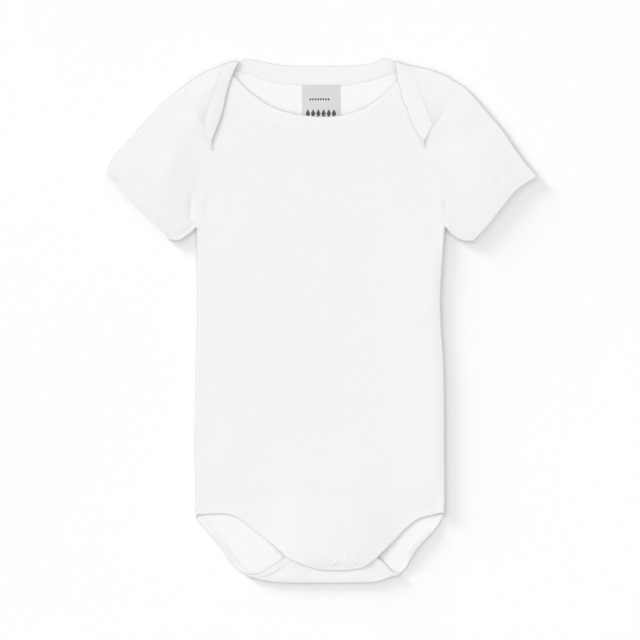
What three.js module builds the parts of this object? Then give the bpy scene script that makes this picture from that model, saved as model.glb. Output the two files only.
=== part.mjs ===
// A baby's short-sleeved bodysuit, laid flat on its back, in millimetres.
// The garment lies in the XY plane: +Y towards the neck, +X to the viewer's right, and
// +Z up from the surface that it lies on. The underside is z = 0, and the origin is the
// middle of the outline, on that surface. Left and right are the viewer's.
import * as THREE from "three";

// Driving sizes of the cloth
const clothWall = 1.0; // jersey, with its loft
const bandWall = 1.4; // folded binding, more layers
const seamGap = 0.5; // clear slit between two pieces that are sewn together
const layerGap = 0.35; // clear slit between two layers that lie on each other
const neckBandWidth = 12.6;
const legBandWidth = 6;

// Heights of the middle of each layer above the surface
const backLevel = clothWall / 2;
const bandLevel = bandWall / 2;
const frontLevel = 2.2;
const sideLevel = 3.6; // where the side seams come round to the front
const flapLift = bandWall + layerGap; // a shoulder flap above the front that it covers
const flapLevel = frontLevel + flapLift;
const tabLevel = 2.4; // the crotch tab, folded up on to the back
const tabTilt = 0.3; // how much the tab rises towards its snaps
const tabStart = -186; // the tab's rise starts above the crotch fold
const tabSnaps = -168; // and ends at the snaps
const sideWrap = 0.6; // how far the back comes over the front before the side seam

// Numbers of facets
const rollSteps = 6; // round each fold
const bandSteps = 2; // across each band
const sideColumns = 12; // of the body, outside the guide lines, and along each leg's band
const middleColumns = 16; // of the body, between the guide lines, and along each neck band
const sideRows = 11; // of the body, below the underarms
const armRows = 11; // of the body, above the underarms, and across each sleeve
const flapRows = 6; // down each shoulder flap's cloth
const lapRows = 10; // down each lap's band
const tabRows = 6; // up the crotch tab
const underarmShare = 0.66; // share of the body's height that lies below the underarms

// Colours
const jerseyColour = 0xf4f4f3;
const bandColour = 0xf6f6f5;
const labelColour = 0xd9d9d8;
const snapColour = 0xf1f1ef;
const clothRoughness = 0.9;
const labelRoughness = 0.55;
const snapRoughness = 0.35;

const lerp = THREE.MathUtils.lerp;
const smooth = THREE.MathUtils.smoothstep;

// Rows of numbers become objects with the named columns
function table(columns, rows) {
  return rows.map((row) => Object.fromEntries(columns.map((name, i) => [name, row[i]])));
}

const plan = (rows) => table(["x", "y"], rows);

// Outlines, each from the measured garment. They run as their names say.
const sideLeft = plan([[-92.6, -146], [-93.2, -109], [-92.4, -43], [-91.3, 1], [-91.2, 40], [-92, 66]]);
const sideRight = plan([
  [89.9, -143], [89.5, -95], [89, -36], [87.3, -10], [86.6, 20], [88.3, 50], [89.6, 66],
]);

const armholeLeft = plan([
  [-90.6, 77], [-88.8, 88.3], [-85.3, 105], [-83, 118], [-82.8, 127.5],
  [-87.3, 139.9], [-91.9, 150.1], [-95.8, 159.4], [-101, 168.2],
]);
const armholeRight = plan([
  [88.2, 77], [84, 91], [79.4, 106.6], [75.2, 120], [74.8, 130],
  [78.4, 137.2], [85.7, 148.2], [92.2, 161.3], [97.2, 172.4],
]);

const shoulderLeft = plan([
  [-102.6, 170.3], [-96, 175.5], [-88, 180.8], [-76.4, 185.9], [-67.8, 189], [-61.8, 190.3],
]);
const shoulderRight = plan([
  [98.2, 174.2], [91.5, 178.7], [83.5, 182], [76, 184.4], [66, 186.3], [59.5, 188], [53.4, 190.2],
]);

const lapEdgeLeft = plan([
  [-64.7, 181.3], [-69.4, 167.2], [-72.5, 153.3], [-76.4, 141.6], [-80.6, 131.4], [-81.2, 125.4],
]);
const lapEdgeRight = plan([
  [55, 175], [58.7, 161], [62, 153.3], [65, 144.5], [68.9, 136.9], [72.2, 132], [73.2, 127],
]);
const lapSeamLeft = plan([[-79.3, 168], [-84.6, 152], [-86.4, 142.6]]);
const lapSeamRight = plan([[70.8, 168], [77.6, 150], [80.2, 142.6]]);
const lapTipLeft = plan([[-86.4, 142.6], [-85.6, 138.2], [-82, 128.8], [-82.1, 125]]);
const lapTipRight = plan([[80.2, 142.6], [77.2, 137.2], [74, 130.8], [74.1, 126.4]]);
const frontShoulderLeft = plan([[-99.2, 166.3], [-93, 172.2], [-86, 176]]);
const frontShoulderRight = plan([[95.2, 170.1], [88.5, 174.6], [79, 177]]);

const backNeckEdge = plan([
  [-56.4, 190.9], [-49.3, 190.2], [-41.3, 188.6], [-33.3, 187.1], [-18.7, 185.9], [0, 185.7],
  [19.3, 186.2], [31, 187], [38.6, 188.9], [43.5, 191.1], [48.6, 191.2],
]);
const backNeckSeam = plan([
  [-61.8, 182.1], [-52, 179.8], [-41.3, 175.6], [-33.3, 173.8], [-24, 172.6], [0, 171.9],
  [14, 171.8], [22, 172.7], [36.8, 176.1], [44.8, 178.5], [53, 181.6],
]);
const frontNeckEdge = plan([
  [-70.2, 183.6], [-63.9, 178.2], [-53.7, 167.9], [-46.8, 162.6], [-39.1, 157.5],
  [-27.4, 152.8], [-15.8, 150.1], [-0.4, 148.9], [12, 149.6], [22, 152], [31, 155.7],
  [41.9, 163.5], [53.4, 173.6], [60.4, 181.6],
]);

const frontLegLeft = plan([
  [-87.9, -141.2], [-79, -140.8], [-69.8, -141], [-60, -144.6], [-49.3, -153], [-39, -161], [-28.5, -169.9],
]);
const frontLegRight = plan([
  [85.4, -140.1], [78.4, -142], [70, -144.4], [61, -151.2], [52.6, -159.9], [47, -165.4], [40.6, -171.4],
]);
const flapHem = plan([
  [-28.1, -170.3], [-21, -174.3], [-12, -178], [-2, -180.8], [10, -181.4], [20, -181],
  [30, -178.9], [40.2, -171.8],
]);

const backLegLeft = plan([
  [-90.4, -146], [-84, -153.4], [-78, -160], [-72.4, -167.6], [-66.8, -175.6], [-61, -182], [-55.2, -185.3],
]);
const backLegRight = plan([
  [87.7, -143], [83, -150.6], [77, -157], [70, -164.6], [65, -172], [61, -179.6], [56.7, -184.3],
]);
const backSeamLeft = plan([
  [-90.4, -139.6], [-84.4, -144.4], [-76.4, -153], [-70.2, -161], [-64, -170],
  [-57.4, -178.6], [-48.4, -186.6],
]);
const backSeamRight = plan([
  [87.7, -137], [81.6, -143.4], [73.8, -151.6], [67, -159], [60.6, -169], [56.6, -177.6], [50.8, -185.4],
]);
const crotchFold = plan([
  [-48.4, -186.6], [-39, -188.8], [-28, -189.8], [0, -190], [28, -189.8], [38, -189.4],
  [50.8, -185.4],
]);
const tabEdgeLeft = plan([[-55.2, -185.3], [-45.7, -183.9], [-36.9, -178.9], [-27.3, -172.1], [-19, -161]]);
const tabEdgeRight = plan([[56.7, -184.3], [51, -182.4], [44.6, -175.8], [39.7, -172.1], [31.5, -161]]);
const tabSeamLeft = plan([[-48.4, -186.6], [-40.6, -185.6], [-32, -181], [-22.6, -173.6], [-14, -163.8]]);
const tabSeamRight = plan([[50.8, -185.4], [45, -183.9], [38.8, -179], [33.6, -172.8], [26.6, -163.8]]);

const sleeveOuterLeft = plan([
  [-103.4, 169.2], [-115, 159.6], [-125.3, 149.5], [-138, 135.6], [-150.1, 122],
  [-155, 114.4], [-156.6, 106.4],
]);
const sleeveUnderLeft = plan([[-91.9, 67.3], [-97, 62.6], [-104.8, 58.2], [-112.4, 58.9]]);
const sleeveHemLeft = plan([[-156.6, 106.4], [-149.4, 97.8], [-134, 83.2], [-121, 70.6], [-112.4, 58.9]]);
const sleeveOuterRight = plan([
  [99.3, 173.6], [104.9, 169.8], [118.3, 154.8], [131.7, 139.4], [141.4, 124.8], [149.2, 114.4], [156.6, 106],
]);
const sleeveUnderRight = plan([[90, 67.3], [93.8, 63], [98.4, 59.8], [103.4, 57.9], [110.6, 57.6]]);
const sleeveHemRight = plan([
  [156.6, 106], [146, 99.2], [138.8, 93.4], [126.2, 77.4], [118.6, 67.6], [110.6, 57.6],
]);

// The largest soft folds of the front: a ridge along a line, with a bell-shaped section
const frontFolds = table(
  ["x", "y", "turn", "length", "width", "height"],
  [
    [64, 2, 22, 44, 9, 0.8],
    [-18, -117, 2, 92, 7, 0.45],
    [42, -124, -4, 60, 6, 0.35],
    [-66, -96, 74, 40, 9, 0.35],
    [-60, 60, 58, 46, 10, 0.4],
    [58, 78, -52, 44, 10, 0.4],
    [-34, -66, 12, 60, 12, 0.3],
    [10, 84, -6, 70, 14, 0.3],
  ],
);

// The largest soft folds of each sleeve's upper layer, in the same columns
const sleeveFoldsLeft = table(
  ["x", "y", "turn", "length", "width", "height"],
  [[-104, 128, 62, 46, 8, 0.7], [-119, 104, 48, 50, 9, 0.6], [-98, 98, 84, 34, 6, 0.6]],
);
const sleeveFoldsRight = table(
  ["x", "y", "turn", "length", "width", "height"],
  [[103, 132, -56, 48, 10, 0.5], [122, 104, -44, 44, 11, 0.5], [95, 100, -76, 34, 7, 0.5]],
);

// Snaps that close the crotch, and the neck label
const snapPlaces = plan([[-11.6, -170.2], [6.3, -173], [21.6, -172.2]]);
const snapRadius = 4.75;
const snapRing = { inner: 3.2, height: 0.6, slope: 0.25, sides: 20 };
const snapSocket = { outer: 4.2, bore: 1.8, height: 0.8, sides: 12 };
const snapStud = { flange: 3.9, flangeHeight: 0.4, post: 1.4, height: 1, sides: 12 };
const label = { left: -15, right: 12.7, top: 171.2, bottom: 138, wall: 0.5 };

// A smooth curve through the rows: cubic pieces whose slopes are set by the rows on each
// side, run through by the share of the summed straight distances
function through(rows) {
  const times = [0];
  for (let i = 1; i < rows.length; i += 1) {
    times.push(times[i - 1] + Math.hypot(rows[i].x - rows[i - 1].x, rows[i].y - rows[i - 1].y));
  }
  const last = rows.length - 1;
  const slope = (i, key) => {
    const before = Math.max(i - 1, 0);
    const after = Math.min(i + 1, last);
    return (rows[after][key] - rows[before][key]) / (times[after] - times[before]);
  };
  return (share) => {
    const time = THREE.MathUtils.clamp(share, 0, 1) * times[last];
    let i = 0;
    while (i < last - 1 && times[i + 1] < time) i += 1;
    const span = times[i + 1] - times[i];
    const t = (time - times[i]) / span;
    const value = (key) => {
      const start = rows[i][key];
      const end = rows[i + 1][key];
      const startSlope = slope(i, key) * span;
      const endSlope = slope(i + 1, key) * span;
      return (
        start * (2 * t ** 3 - 3 * t ** 2 + 1) +
        startSlope * (t ** 3 - 2 * t ** 2 + t) +
        end * (3 * t ** 2 - 2 * t ** 3) +
        endSlope * (t ** 3 - t ** 2)
      );
    };
    return { x: value("x"), y: value("y") };
  };
}

const reversed = (curve) => (share) => curve(1 - share);
const part = (curve, from, to) => (share) => curve(lerp(from, to, share));
const mix = (a, b, share) => ({ x: lerp(a.x, b.x, share), y: lerp(a.y, b.y, share) });
const shifted = (curve, dx) => (share) => {
  const point = curve(share);
  return { x: point.x + dx, y: point.y };
};

// The unit vector to the left of a curve's travel, in plan
function leftOf(curve, share) {
  const step = 0.004;
  const before = curve(Math.max(share - step, 0));
  const after = curve(Math.min(share + step, 1));
  const length = Math.hypot(after.x - before.x, after.y - before.y);
  return { x: -(after.y - before.y) / length, y: (after.x - before.x) / length };
}

// The curve moved to the left of its travel by a distance
function beside(curve, distance) {
  return (share) => {
    const point = curve(share);
    const left = leftOf(curve, share);
    return { x: point.x + left.x * distance, y: point.y + left.y * distance };
  };
}

// A sheet filled in between four border curves (a Coons patch):
// ruled one way plus ruled the other way less the straight corners
function filled(bottom, top, left, right) {
  const [p00, p10, p01, p11] = [bottom(0), bottom(1), top(0), top(1)];
  return (u, v) => {
    const blend = (key) =>
      lerp(bottom(u)[key], top(u)[key], v) +
      lerp(left(v)[key], right(v)[key], u) -
      lerp(lerp(p00[key], p10[key], u), lerp(p01[key], p11[key], u), v);
    return { x: blend("x"), y: blend("y") };
  };
}

// A grid of points: one row for each value of v, one point for each value of u
function grid(us, vs, pointAt) {
  return vs.map((v) => us.map((u) => pointAt(u, v)));
}

const shares = (steps) => Array.from({ length: steps + 1 }, (_, i) => i / steps);
const quarters = shares(4).slice(1);
const point = (place, z) => new THREE.Vector3(place.x, place.y, z);

// Height that a table of soft ridges adds at a place
function foldHeight(folds, place) {
  return folds.reduce((sum, fold) => {
    const turn = THREE.MathUtils.degToRad(fold.turn);
    const dx = place.x - fold.x;
    const dy = place.y - fold.y;
    const along = (dx * Math.cos(turn) + dy * Math.sin(turn)) / (fold.length / 2);
    const across = (dy * Math.cos(turn) - dx * Math.sin(turn)) / fold.width;
    return sum + fold.height * Math.exp(-(along ** 4) - across ** 2);
  }, 0);
}

// Height of the middle of the front's cloth: flat on the back, rising to the side seams,
// round the neck opening, and over the snaps at the crotch
const sideLine = { left: through(sideLeft), right: through(sideRight) };
const neckRise = { x: -1, y: 149, spreadX: 46, spreadY: 15, height: 1 };
const snapRise = {
  x: 6, spread: 46, from: -75, to: -164, height: 3.7, droop: 0.9, droopFrom: 176, droopTo: 182,
};
const sideRise = { bottom: -146, top: 66, flat: 3, spread: 38, fadeFrom: 40, fadeTo: 100 };

function frontHeight(place) {
  const share = (place.y - sideRise.bottom) / (sideRise.top - sideRise.bottom);
  const reach = THREE.MathUtils.clamp(share, 0, 1);
  const inFromLeft = place.x - sideLine.left(reach).x;
  const inFromRight = sideLine.right(reach).x - place.x;
  const edge = Math.max(Math.min(inFromLeft, inFromRight) - sideRise.flat, 0);
  const belowArm = 1 - smooth(place.y, sideRise.fadeFrom, sideRise.fadeTo);
  const side = (sideLevel - frontLevel) * Math.exp(-((edge / sideRise.spread) ** 2)) * belowArm;
  const neck =
    neckRise.height *
    Math.exp(-(((place.x - neckRise.x) / neckRise.spreadX) ** 4)) *
    Math.exp(-(((place.y - neckRise.y) / neckRise.spreadY) ** 2));
  const lift = 1 - smooth(place.y, snapRise.to, snapRise.from);
  const acrossSnaps = Math.exp(-(((place.x - snapRise.x) / snapRise.spread) ** 4));
  const droop = snapRise.droop * smooth(-place.y, snapRise.droopFrom, snapRise.droopTo);
  const overSnaps = (snapRise.height * lift - droop) * acrossSnaps;
  return frontLevel + side + neck + overSnaps + foldHeight(frontFolds, place);
}

const flapHeight = (place) => frontHeight(place) + flapLift;
const tabHeight = (place) => tabLevel + tabTilt * smooth(place.y, tabStart, tabSnaps);

// A closed wall round a middle surface made of grids that share their border points.
// Each point is moved half the wall's thickness both ways along the surface's own
// direction, and a rim closes the free borders.
function wall(grids, thickness) {
  const points = [];
  const numbers = new Map();
  const numberOf = (p) => {
    const key = [p.x, p.y, p.z].map((value) => Math.round(value * 500)).join();
    if (!numbers.has(key)) {
      numbers.set(key, points.length);
      points.push(p);
    }
    return numbers.get(key);
  };
  const triangles = [];
  for (const rows of grids) {
    const ids = rows.map((row) => row.map(numberOf));
    for (let r = 0; r + 1 < ids.length; r += 1) {
      for (let c = 0; c + 1 < ids[r].length; c += 1) {
        const [a, b, d, e] = [ids[r][c], ids[r][c + 1], ids[r + 1][c], ids[r + 1][c + 1]];
        triangles.push([a, b, e], [a, e, d]);
      }
    }
  }
  const kept = alignFaces(triangles.filter(([a, b, c]) => a !== b && b !== c && c !== a));
  const directions = points.map(() => new THREE.Vector3());
  for (const [a, b, c] of kept) {
    const edge = points[b].clone().sub(points[a]);
    const normal = edge.cross(points[c].clone().sub(points[a]));
    for (const id of [a, b, c]) directions[id].add(normal);
  }
  directions.forEach((direction) => direction.normalize());
  const moved = (distance) => points.map((p, i) => p.clone().addScaledVector(directions[i], distance));
  const vertices = [...moved(thickness / 2), ...moved(-thickness / 2)];
  const under = points.length;
  const faces = kept.flatMap(([a, b, c]) => [[a, b, c], [a + under, c + under, b + under]]);
  const edges = new Set(kept.flatMap(([a, b, c]) => [`${a},${b}`, `${b},${c}`, `${c},${a}`]));
  for (const edge of edges) {
    const [a, b] = edge.split(",").map(Number);
    if (!edges.has(`${b},${a}`)) faces.push([b, a, a + under], [b, a + under, b + under]);
  }
  const geometry = new THREE.BufferGeometry().setFromPoints(vertices);
  geometry.setIndex(faces.flat());
  geometry.computeVertexNormals();
  return geometry;
}

// Turns triangles round where needed, so that neighbours run opposite ways along the
// edge that they share
function alignFaces(triangles) {
  const byEdge = new Map();
  const edgeKey = (a, b) => (a < b ? `${a},${b}` : `${b},${a}`);
  triangles.forEach(([a, b, c], i) => {
    for (const key of [edgeKey(a, b), edgeKey(b, c), edgeKey(c, a)]) {
      byEdge.set(key, [...(byEdge.get(key) ?? []), i]);
    }
  });
  const done = new Set([0]);
  const queue = [0];
  while (queue.length) {
    const current = triangles[queue.pop()];
    for (let k = 0; k < 3; k += 1) {
      const [from, to] = [current[k], current[(k + 1) % 3]];
      for (const other of byEdge.get(edgeKey(from, to))) {
        if (done.has(other)) continue;
        const next = triangles[other];
        const sameWay = [0, 1, 2].some((n) => next[n] === from && next[(n + 1) % 3] === to);
        if (sameWay) next.reverse();
        done.add(other);
        queue.push(other);
      }
    }
  }
  return triangles;
}

// A fold: half a turn from a lower line to an upper one, bulging to one side.
// The turn's angle runs from straight down to straight up.
function folded(lineAt, outwardAt, lowAt, highAt) {
  return (u, v) => {
    const angle = Math.PI * (v - 0.5);
    const place = lineAt(u);
    const out = outwardAt(u);
    const low = lowAt(u);
    const radius = (highAt(u) - low) / 2;
    const reach = radius * Math.cos(angle);
    const moved = { x: place.x + out.x * reach, y: place.y + out.y * reach };
    return point(moved, low + radius * (1 + Math.sin(angle)));
  };
}

const straight = (from, to) => (share) => mix(from, to, share);
const down = { x: 0, y: -1 };

// Where a lap's inner line leaves its seam for the armhole, as a share of the lap
const lapTurn = 0.74;

// A lap's edge stands up most halfway down its length
const stand = { tip: 126, full: 150, fading: 168, shoulder: 186 };
const standing = (y) => smooth(y, stand.tip, stand.full) * (1 - smooth(y, stand.fading, stand.shoulder));

// A curve whose ends are moved to two given points, with the shift dying away inwards
const cornerPower = 6;

function cornered(curve, start, end) {
  const [first, last] = [curve(0), curve(1)];
  return (share) => {
    const place = curve(share);
    const atStart = (1 - share) ** cornerPower;
    const atEnd = share ** cornerPower;
    return {
      x: place.x + (start.x - first.x) * atStart + (end.x - last.x) * atEnd,
      y: place.y + (start.y - first.y) * atStart + (end.y - last.y) * atEnd,
    };
  };
}

// The two sides of the garment, as the viewer sees them. flapShare is the share of the
// armhole, from the shoulder down, that the flap's cloth takes before its band fills it.
const sides = {
  left: {
    sign: -1,
    side: through(sideLeft),
    armhole: armholeLeft,
    shoulder: through(shoulderLeft),
    clothShare: 0.72,
    flapShare: 0.29,
    flapOpen: 1.4,
    lapEdge: lapEdgeLeft,
    lapSeam: lapSeamLeft,
    lapTip: through(lapTipLeft),
    frontShoulder: frontShoulderLeft,
    frontLeg: through(frontLegLeft),
    backLeg: through(backLegLeft),
    backSeam: through(backSeamLeft),
    tabEdge: through(tabEdgeLeft),
    tabSeam: through(tabSeamLeft),
    sleeveOuter: through(sleeveOuterLeft),
    sleeveUnder: through(sleeveUnderLeft),
    sleeveHem: through(sleeveHemLeft),
    sleeveFolds: sleeveFoldsLeft,
    sleevePuff: 0.7,
  },
  right: {
    sign: 1,
    side: through(sideRight),
    armhole: armholeRight,
    shoulder: through(shoulderRight),
    clothShare: 0.76,
    flapShare: 0.3,
    flapOpen: 0.4,
    lapEdge: lapEdgeRight,
    lapSeam: lapSeamRight,
    lapTip: through(lapTipRight),
    frontShoulder: frontShoulderRight,
    frontLeg: through(frontLegRight),
    backLeg: through(backLegRight),
    backSeam: through(backSeamRight),
    tabEdge: through(tabEdgeRight),
    tabSeam: through(tabSeamRight),
    sleeveOuter: through(sleeveOuterRight),
    sleeveUnder: through(sleeveUnderRight),
    sleeveHem: through(sleeveHemRight),
    sleeveFolds: sleeveFoldsRight,
    sleevePuff: 1.3,
  },
};

// A fold's line lies inside the outline by the fold's reach, so that its round side
// touches the outline
const sideReach = (sideLevel - backLevel) / 2 + clothWall / 2;
const shoulderReach = (flapLevel - backLevel) / 2 + clothWall / 2;
const sideFold = (side) => shifted(side.side, -side.sign * sideReach);
const shoulderFold = (side) => beside(side.shoulder, side.sign * shoulderReach);

// Where the neck binding's seam and its edge cross a shoulder's fold
const seamCorner = (side) => shoulderFold(side)(side.clothShare);
const edgeCorner = (side) => shoulderFold(side)(1);
const neckSeam = () => through([seamCorner(sides.left), ...backNeckSeam, seamCorner(sides.right)]);
const neckEdge = () => through([edgeCorner(sides.left), ...backNeckEdge, edgeCorner(sides.right)]);
const lapSeam = (side) => through([seamCorner(side), ...side.lapSeam]);
const lapEdge = (side) => through([edgeCorner(side), ...side.lapEdge]);

function shoulderOutward(side, share) {
  const left = leftOf(side.shoulder, share);
  return { x: -side.sign * left.x, y: -side.sign * left.y };
}

// The seam between the front and its leg band runs inside the leg's edge
const frontSeam = (side, width) => beside(side.frontLeg, -side.sign * width);

const bodyRows = [
  ...shares(sideRows).map((v) => v * underarmShare),
  ...shares(armRows).slice(1).map((v) => lerp(underarmShare, 1, v)),
];

// A side border of the body: up the side to the underarm, then up the armhole to the shoulder
function sideBorder(lower, armhole, top) {
  const up = through([lower(1), ...armhole.slice(0, -1), top]);
  return (v) =>
    v < underarmShare ? lower(v / underarmShare) : up((v - underarmShare) / (1 - underarmShare));
}

// The armhole's points on the body's side of its seam
const bodyArmhole = (side) =>
  side.armhole.map((row) => ({ x: row.x - (side.sign * seamGap) / 2, y: row.y }));

// Three strips side by side, from border to guide line, between the guides, and on to the
// other border. Each strip is a filled sheet, and neighbours share their points.
function threeStrips({ borders, guides, bottoms, tops, heightAt }) {
  const strips = [
    { columns: sideColumns, sheet: filled(bottoms[0], tops[0], borders[0], guides[0]) },
    { columns: middleColumns, sheet: filled(bottoms[1], tops[1], guides[0], guides[1]) },
    { columns: sideColumns, sheet: filled(bottoms[2], tops[2], guides[1], borders[1]) },
  ];
  return strips.map(({ columns, sheet }) =>
    grid(shares(columns), bodyRows, (u, v) => {
      const place = sheet(u, v);
      return point(place, heightAt(place));
    }),
  );
}

// One side of the back: rolled up at the side, over the front and on to the side seam.
// The roll's lower end runs up with the leg's edge, from the back's seam to the front's.
const climbPower = 5;

function backSide(side) {
  const lower = backSideLine(side);
  const climb = frontSeam(side, legBandWidth + seamGap)(0).y - side.backSeam(0).y;
  const roll = folded(lower, () => ({ x: side.sign, y: 0 }), () => backLevel, () => sideLevel);
  const raised = (p, u, v) => p.setY(p.y + climb * u * (1 - v) ** climbPower);
  return [
    grid(shares(rollSteps), shares(sideRows), (u, v) => raised(roll(v, u), u, v)),
    grid([0, 1], shares(sideRows), (u, v) => {
      const place = lower(v);
      return raised(new THREE.Vector3(place.x - side.sign * sideWrap * u, place.y, sideLevel), 1, v);
    }),
  ];
}

const backSideLine = (side) => {
  const fold = sideFold(side);
  return through([side.backSeam(0), ...quarters.map((share) => fold(share))]);
};

const clothShoulder = (side) => part(shoulderFold(side), 0, side.clothShare);

// The cloth of a shoulder flap: folded over the shoulder, then ruled from the armhole to
// the seam of the lap's band. It settles on the front over the first share of its length.
const flapSettle = 0.3;

function shoulderFlap(side) {
  const start = clothShoulder(side);
  const armhole = through([...bodyArmhole(side)].reverse());
  const seam = lapSeam(side);
  const inner = (v) => ({ x: seam(v).x + side.sign * seamGap * 0.5 * v, y: seam(v).y });
  const outward = (u) => shoulderOutward(side, u * side.clothShare);
  return [
    grid(shares(sideColumns), shares(rollSteps), folded(start, outward, () => backLevel, () => flapLevel)),
    grid(shares(sideColumns), shares(flapRows), (u, v) => {
      if (v === 0) return point(start(u), flapLevel);
      const place = mix(armhole(v * side.flapShare), inner(v), u);
      return point(place, lerp(flapLevel, flapHeight(place), smooth(v, 0, flapSettle)));
    }),
  ];
}

function backPanel() {
  const { left, right } = sides;
  const fold = through(crotchFold);
  const tops = { left: clothShoulder(left), right: clothShoulder(right) };
  const borders = [left, right].map((side) =>
    sideBorder(backSideLine(side), bodyArmhole(side), clothShoulder(side)(0)),
  );
  const body = threeStrips({
    borders,
    guides: [straight(fold(0), tops.left(1)), straight(fold(1), tops.right(1))],
    bottoms: [left.backSeam, fold, reversed(right.backSeam)],
    tops: [tops.left, neckSeam(), reversed(tops.right)],
    heightAt: () => backLevel,
  });
  const tab = filled(fold, straight(left.tabSeam(1), right.tabSeam(1)), left.tabSeam, right.tabSeam);
  const crotch = [
    grid(shares(middleColumns), shares(rollSteps), folded(fold, () => down, () => backLevel, () => tabLevel)),
    grid(shares(middleColumns), shares(tabRows), (u, v) => {
      const place = tab(u, v);
      return point(place, v === 0 ? tabLevel : tabHeight(place));
    }),
  ];
  const edges = [left, right].flatMap((side) => [...backSide(side), ...shoulderFlap(side)]);
  return wall([...body, ...crotch, ...edges], clothWall);
}

function frontPanel() {
  const { left, right } = sides;
  const hem = through(flapHem);
  const clear = legBandWidth + seamGap;
  const seams = { left: frontSeam(left, clear), right: frontSeam(right, clear) };
  const bandSeam = beside(through(frontNeckEdge), -(neckBandWidth + seamGap));
  const lift = seams.left(1).y - hem(0).y;
  const lifted = (share) => ({ x: hem(share).x, y: hem(share).y + lift });
  const aboveHem = cornered(lifted, seams.left(1), seams.right(1));
  const shoulderLine = (side, end) => through([...side.frontShoulder, end]);
  const tops = { left: shoulderLine(left, bandSeam(0)), right: shoulderLine(right, bandSeam(1)) };
  const border = (side, seam, top) => {
    const sideSeam = shifted(side.side, -side.sign * (sideReach + sideWrap + seamGap));
    const lower = through([seam(0), ...quarters.map((share) => sideSeam(share))]);
    return sideBorder(lower, bodyArmhole(side), top);
  };
  const body = threeStrips({
    borders: [border(left, seams.left, tops.left(0)), border(right, seams.right, tops.right(0))],
    guides: [straight(seams.left(1), bandSeam(0)), straight(seams.right(1), bandSeam(1))],
    bottoms: [seams.left, aboveHem, reversed(seams.right)],
    tops: [tops.left, bandSeam, reversed(tops.right)],
    heightAt: frontHeight,
  });
  const flapEnd = grid(shares(middleColumns), [0, 0.5, 1], (u, v) => {
    const place = mix(hem(u), aboveHem(u), v);
    return point(place, frontHeight(place));
  });
  return wall([flapEnd, ...body], clothWall);
}

// A band is a ribbon: one row of points across it for each step along it
function ribbon(rows) {
  return wall([rows.map((pointAt) => shares(bandSteps).map(pointAt))], bandWall);
}

// Rows of a ribbon between its seam, less a slit, and its edge. Where the ribbon runs out
// to a point, the slit stays a share of its width.
const widestSlit = 0.4;

function ribbonRows(steps, seam, edge, heightAt, gap = seamGap) {
  return shares(steps).map((share) => {
    const [from, to] = [seam(share), edge(share)];
    const width = Math.hypot(to.x - from.x, to.y - from.y);
    const slit = Math.min(gap / width, widestSlit);
    return (u) => {
      const place = mix(from, to, lerp(slit, 1, u));
      return point(place, heightAt(place, u));
    };
  });
}

// Rows of a ribbon that turns over a fold, from its lower level up to its upper one
function ribbonFold(line, outward, high) {
  const turn = folded(line, outward, () => bandLevel, () => high);
  return shares(rollSteps).slice(1, -1).map((v) => (u) => turn(u, v));
}

function frontNeckband() {
  const edge = through(frontNeckEdge);
  return ribbon(ribbonRows(middleColumns, beside(edge, -neckBandWidth), edge, frontHeight, 0));
}

// The back neck's binding: up one flap's edge, over the shoulder, along the back of the
// neck, over the other shoulder and down the other flap's edge
function backNeckband() {
  const lap = (side) => {
    const seam = lapSeam(side);
    const inner = (share) =>
      share < lapTurn ? seam(share / lapTurn) : side.lapTip((share - lapTurn) / (1 - lapTurn));
    const level = (place, u) => flapHeight(place) + side.flapOpen * u ** 2 * standing(place.y);
    return ribbonRows(lapRows, inner, lapEdge(side), level);
  };
  const over = (side) => {
    const fold = shoulderFold(side);
    const shareAt = (u) => lerp(side.clothShare, 1, lerp(seamGap / neckBandWidth, 1, u));
    return ribbonFold((u) => fold(shareAt(u)), (u) => shoulderOutward(side, shareAt(u)), flapLevel);
  };
  const neck = ribbonRows(middleColumns, neckSeam(), neckEdge(), () => bandLevel);
  const { left, right } = sides;
  return ribbon([...lap(left).reverse(), ...over(left).reverse(), ...neck, ...over(right), ...lap(right)]);
}

// A leg's binding: along the front's leg edge, round the side, along the back's leg edge,
// over the fold at the crotch and up the tab
const foldClear = 0.1; // share of the band's width left clear beside the back's fold

function legBand(side) {
  const front = ribbonRows(sideColumns, frontSeam(side, legBandWidth), side.frontLeg, frontHeight, 0);
  const outline = side.side(0).x - side.sign * ((sideLevel - bandLevel) / 2 + bandWall / 2);
  const ends = {
    low: [side.backSeam(0), side.backLeg(0)],
    high: [frontSeam(side, legBandWidth)(0), side.frontLeg(0)],
  };
  const round = shares(rollSteps).map((v) => (u) => {
    const low = mix(...ends.low, lerp(seamGap / legBandWidth, 1, u));
    const high = mix(...ends.high, u);
    const line = () => ({ x: outline, y: lerp(low.y, high.y, v) });
    return folded(line, () => ({ x: side.sign, y: 0 }), () => bandLevel, () => sideLevel)(u, v);
  });
  const back = ribbonRows(sideColumns, side.backSeam, side.backLeg, () => bandLevel).slice(1);
  const foldLine = (u) => mix(side.backSeam(1), side.backLeg(1), lerp(foldClear, 1, u));
  const over = ribbonFold(foldLine, () => down, tabLevel);
  const tab = ribbonRows(tabRows, side.tabSeam, side.tabEdge, tabHeight);
  return ribbon([...front.reverse(), ...round.reverse(), ...back, ...over, ...tab]);
}

// A sleeve is a flattened tube, open at the armhole and at the cuff. Its ring runs along
// the upper layer, round the underarm, back along the lower layer and round the top.
const sleeveRows = 11;
const sleeveEdgeHeight = 3.1;
const puffStart = 0.3; // where the puff's half wave starts and how far it runs, in radians
const puffRun = 0.8 * Math.PI;

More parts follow.
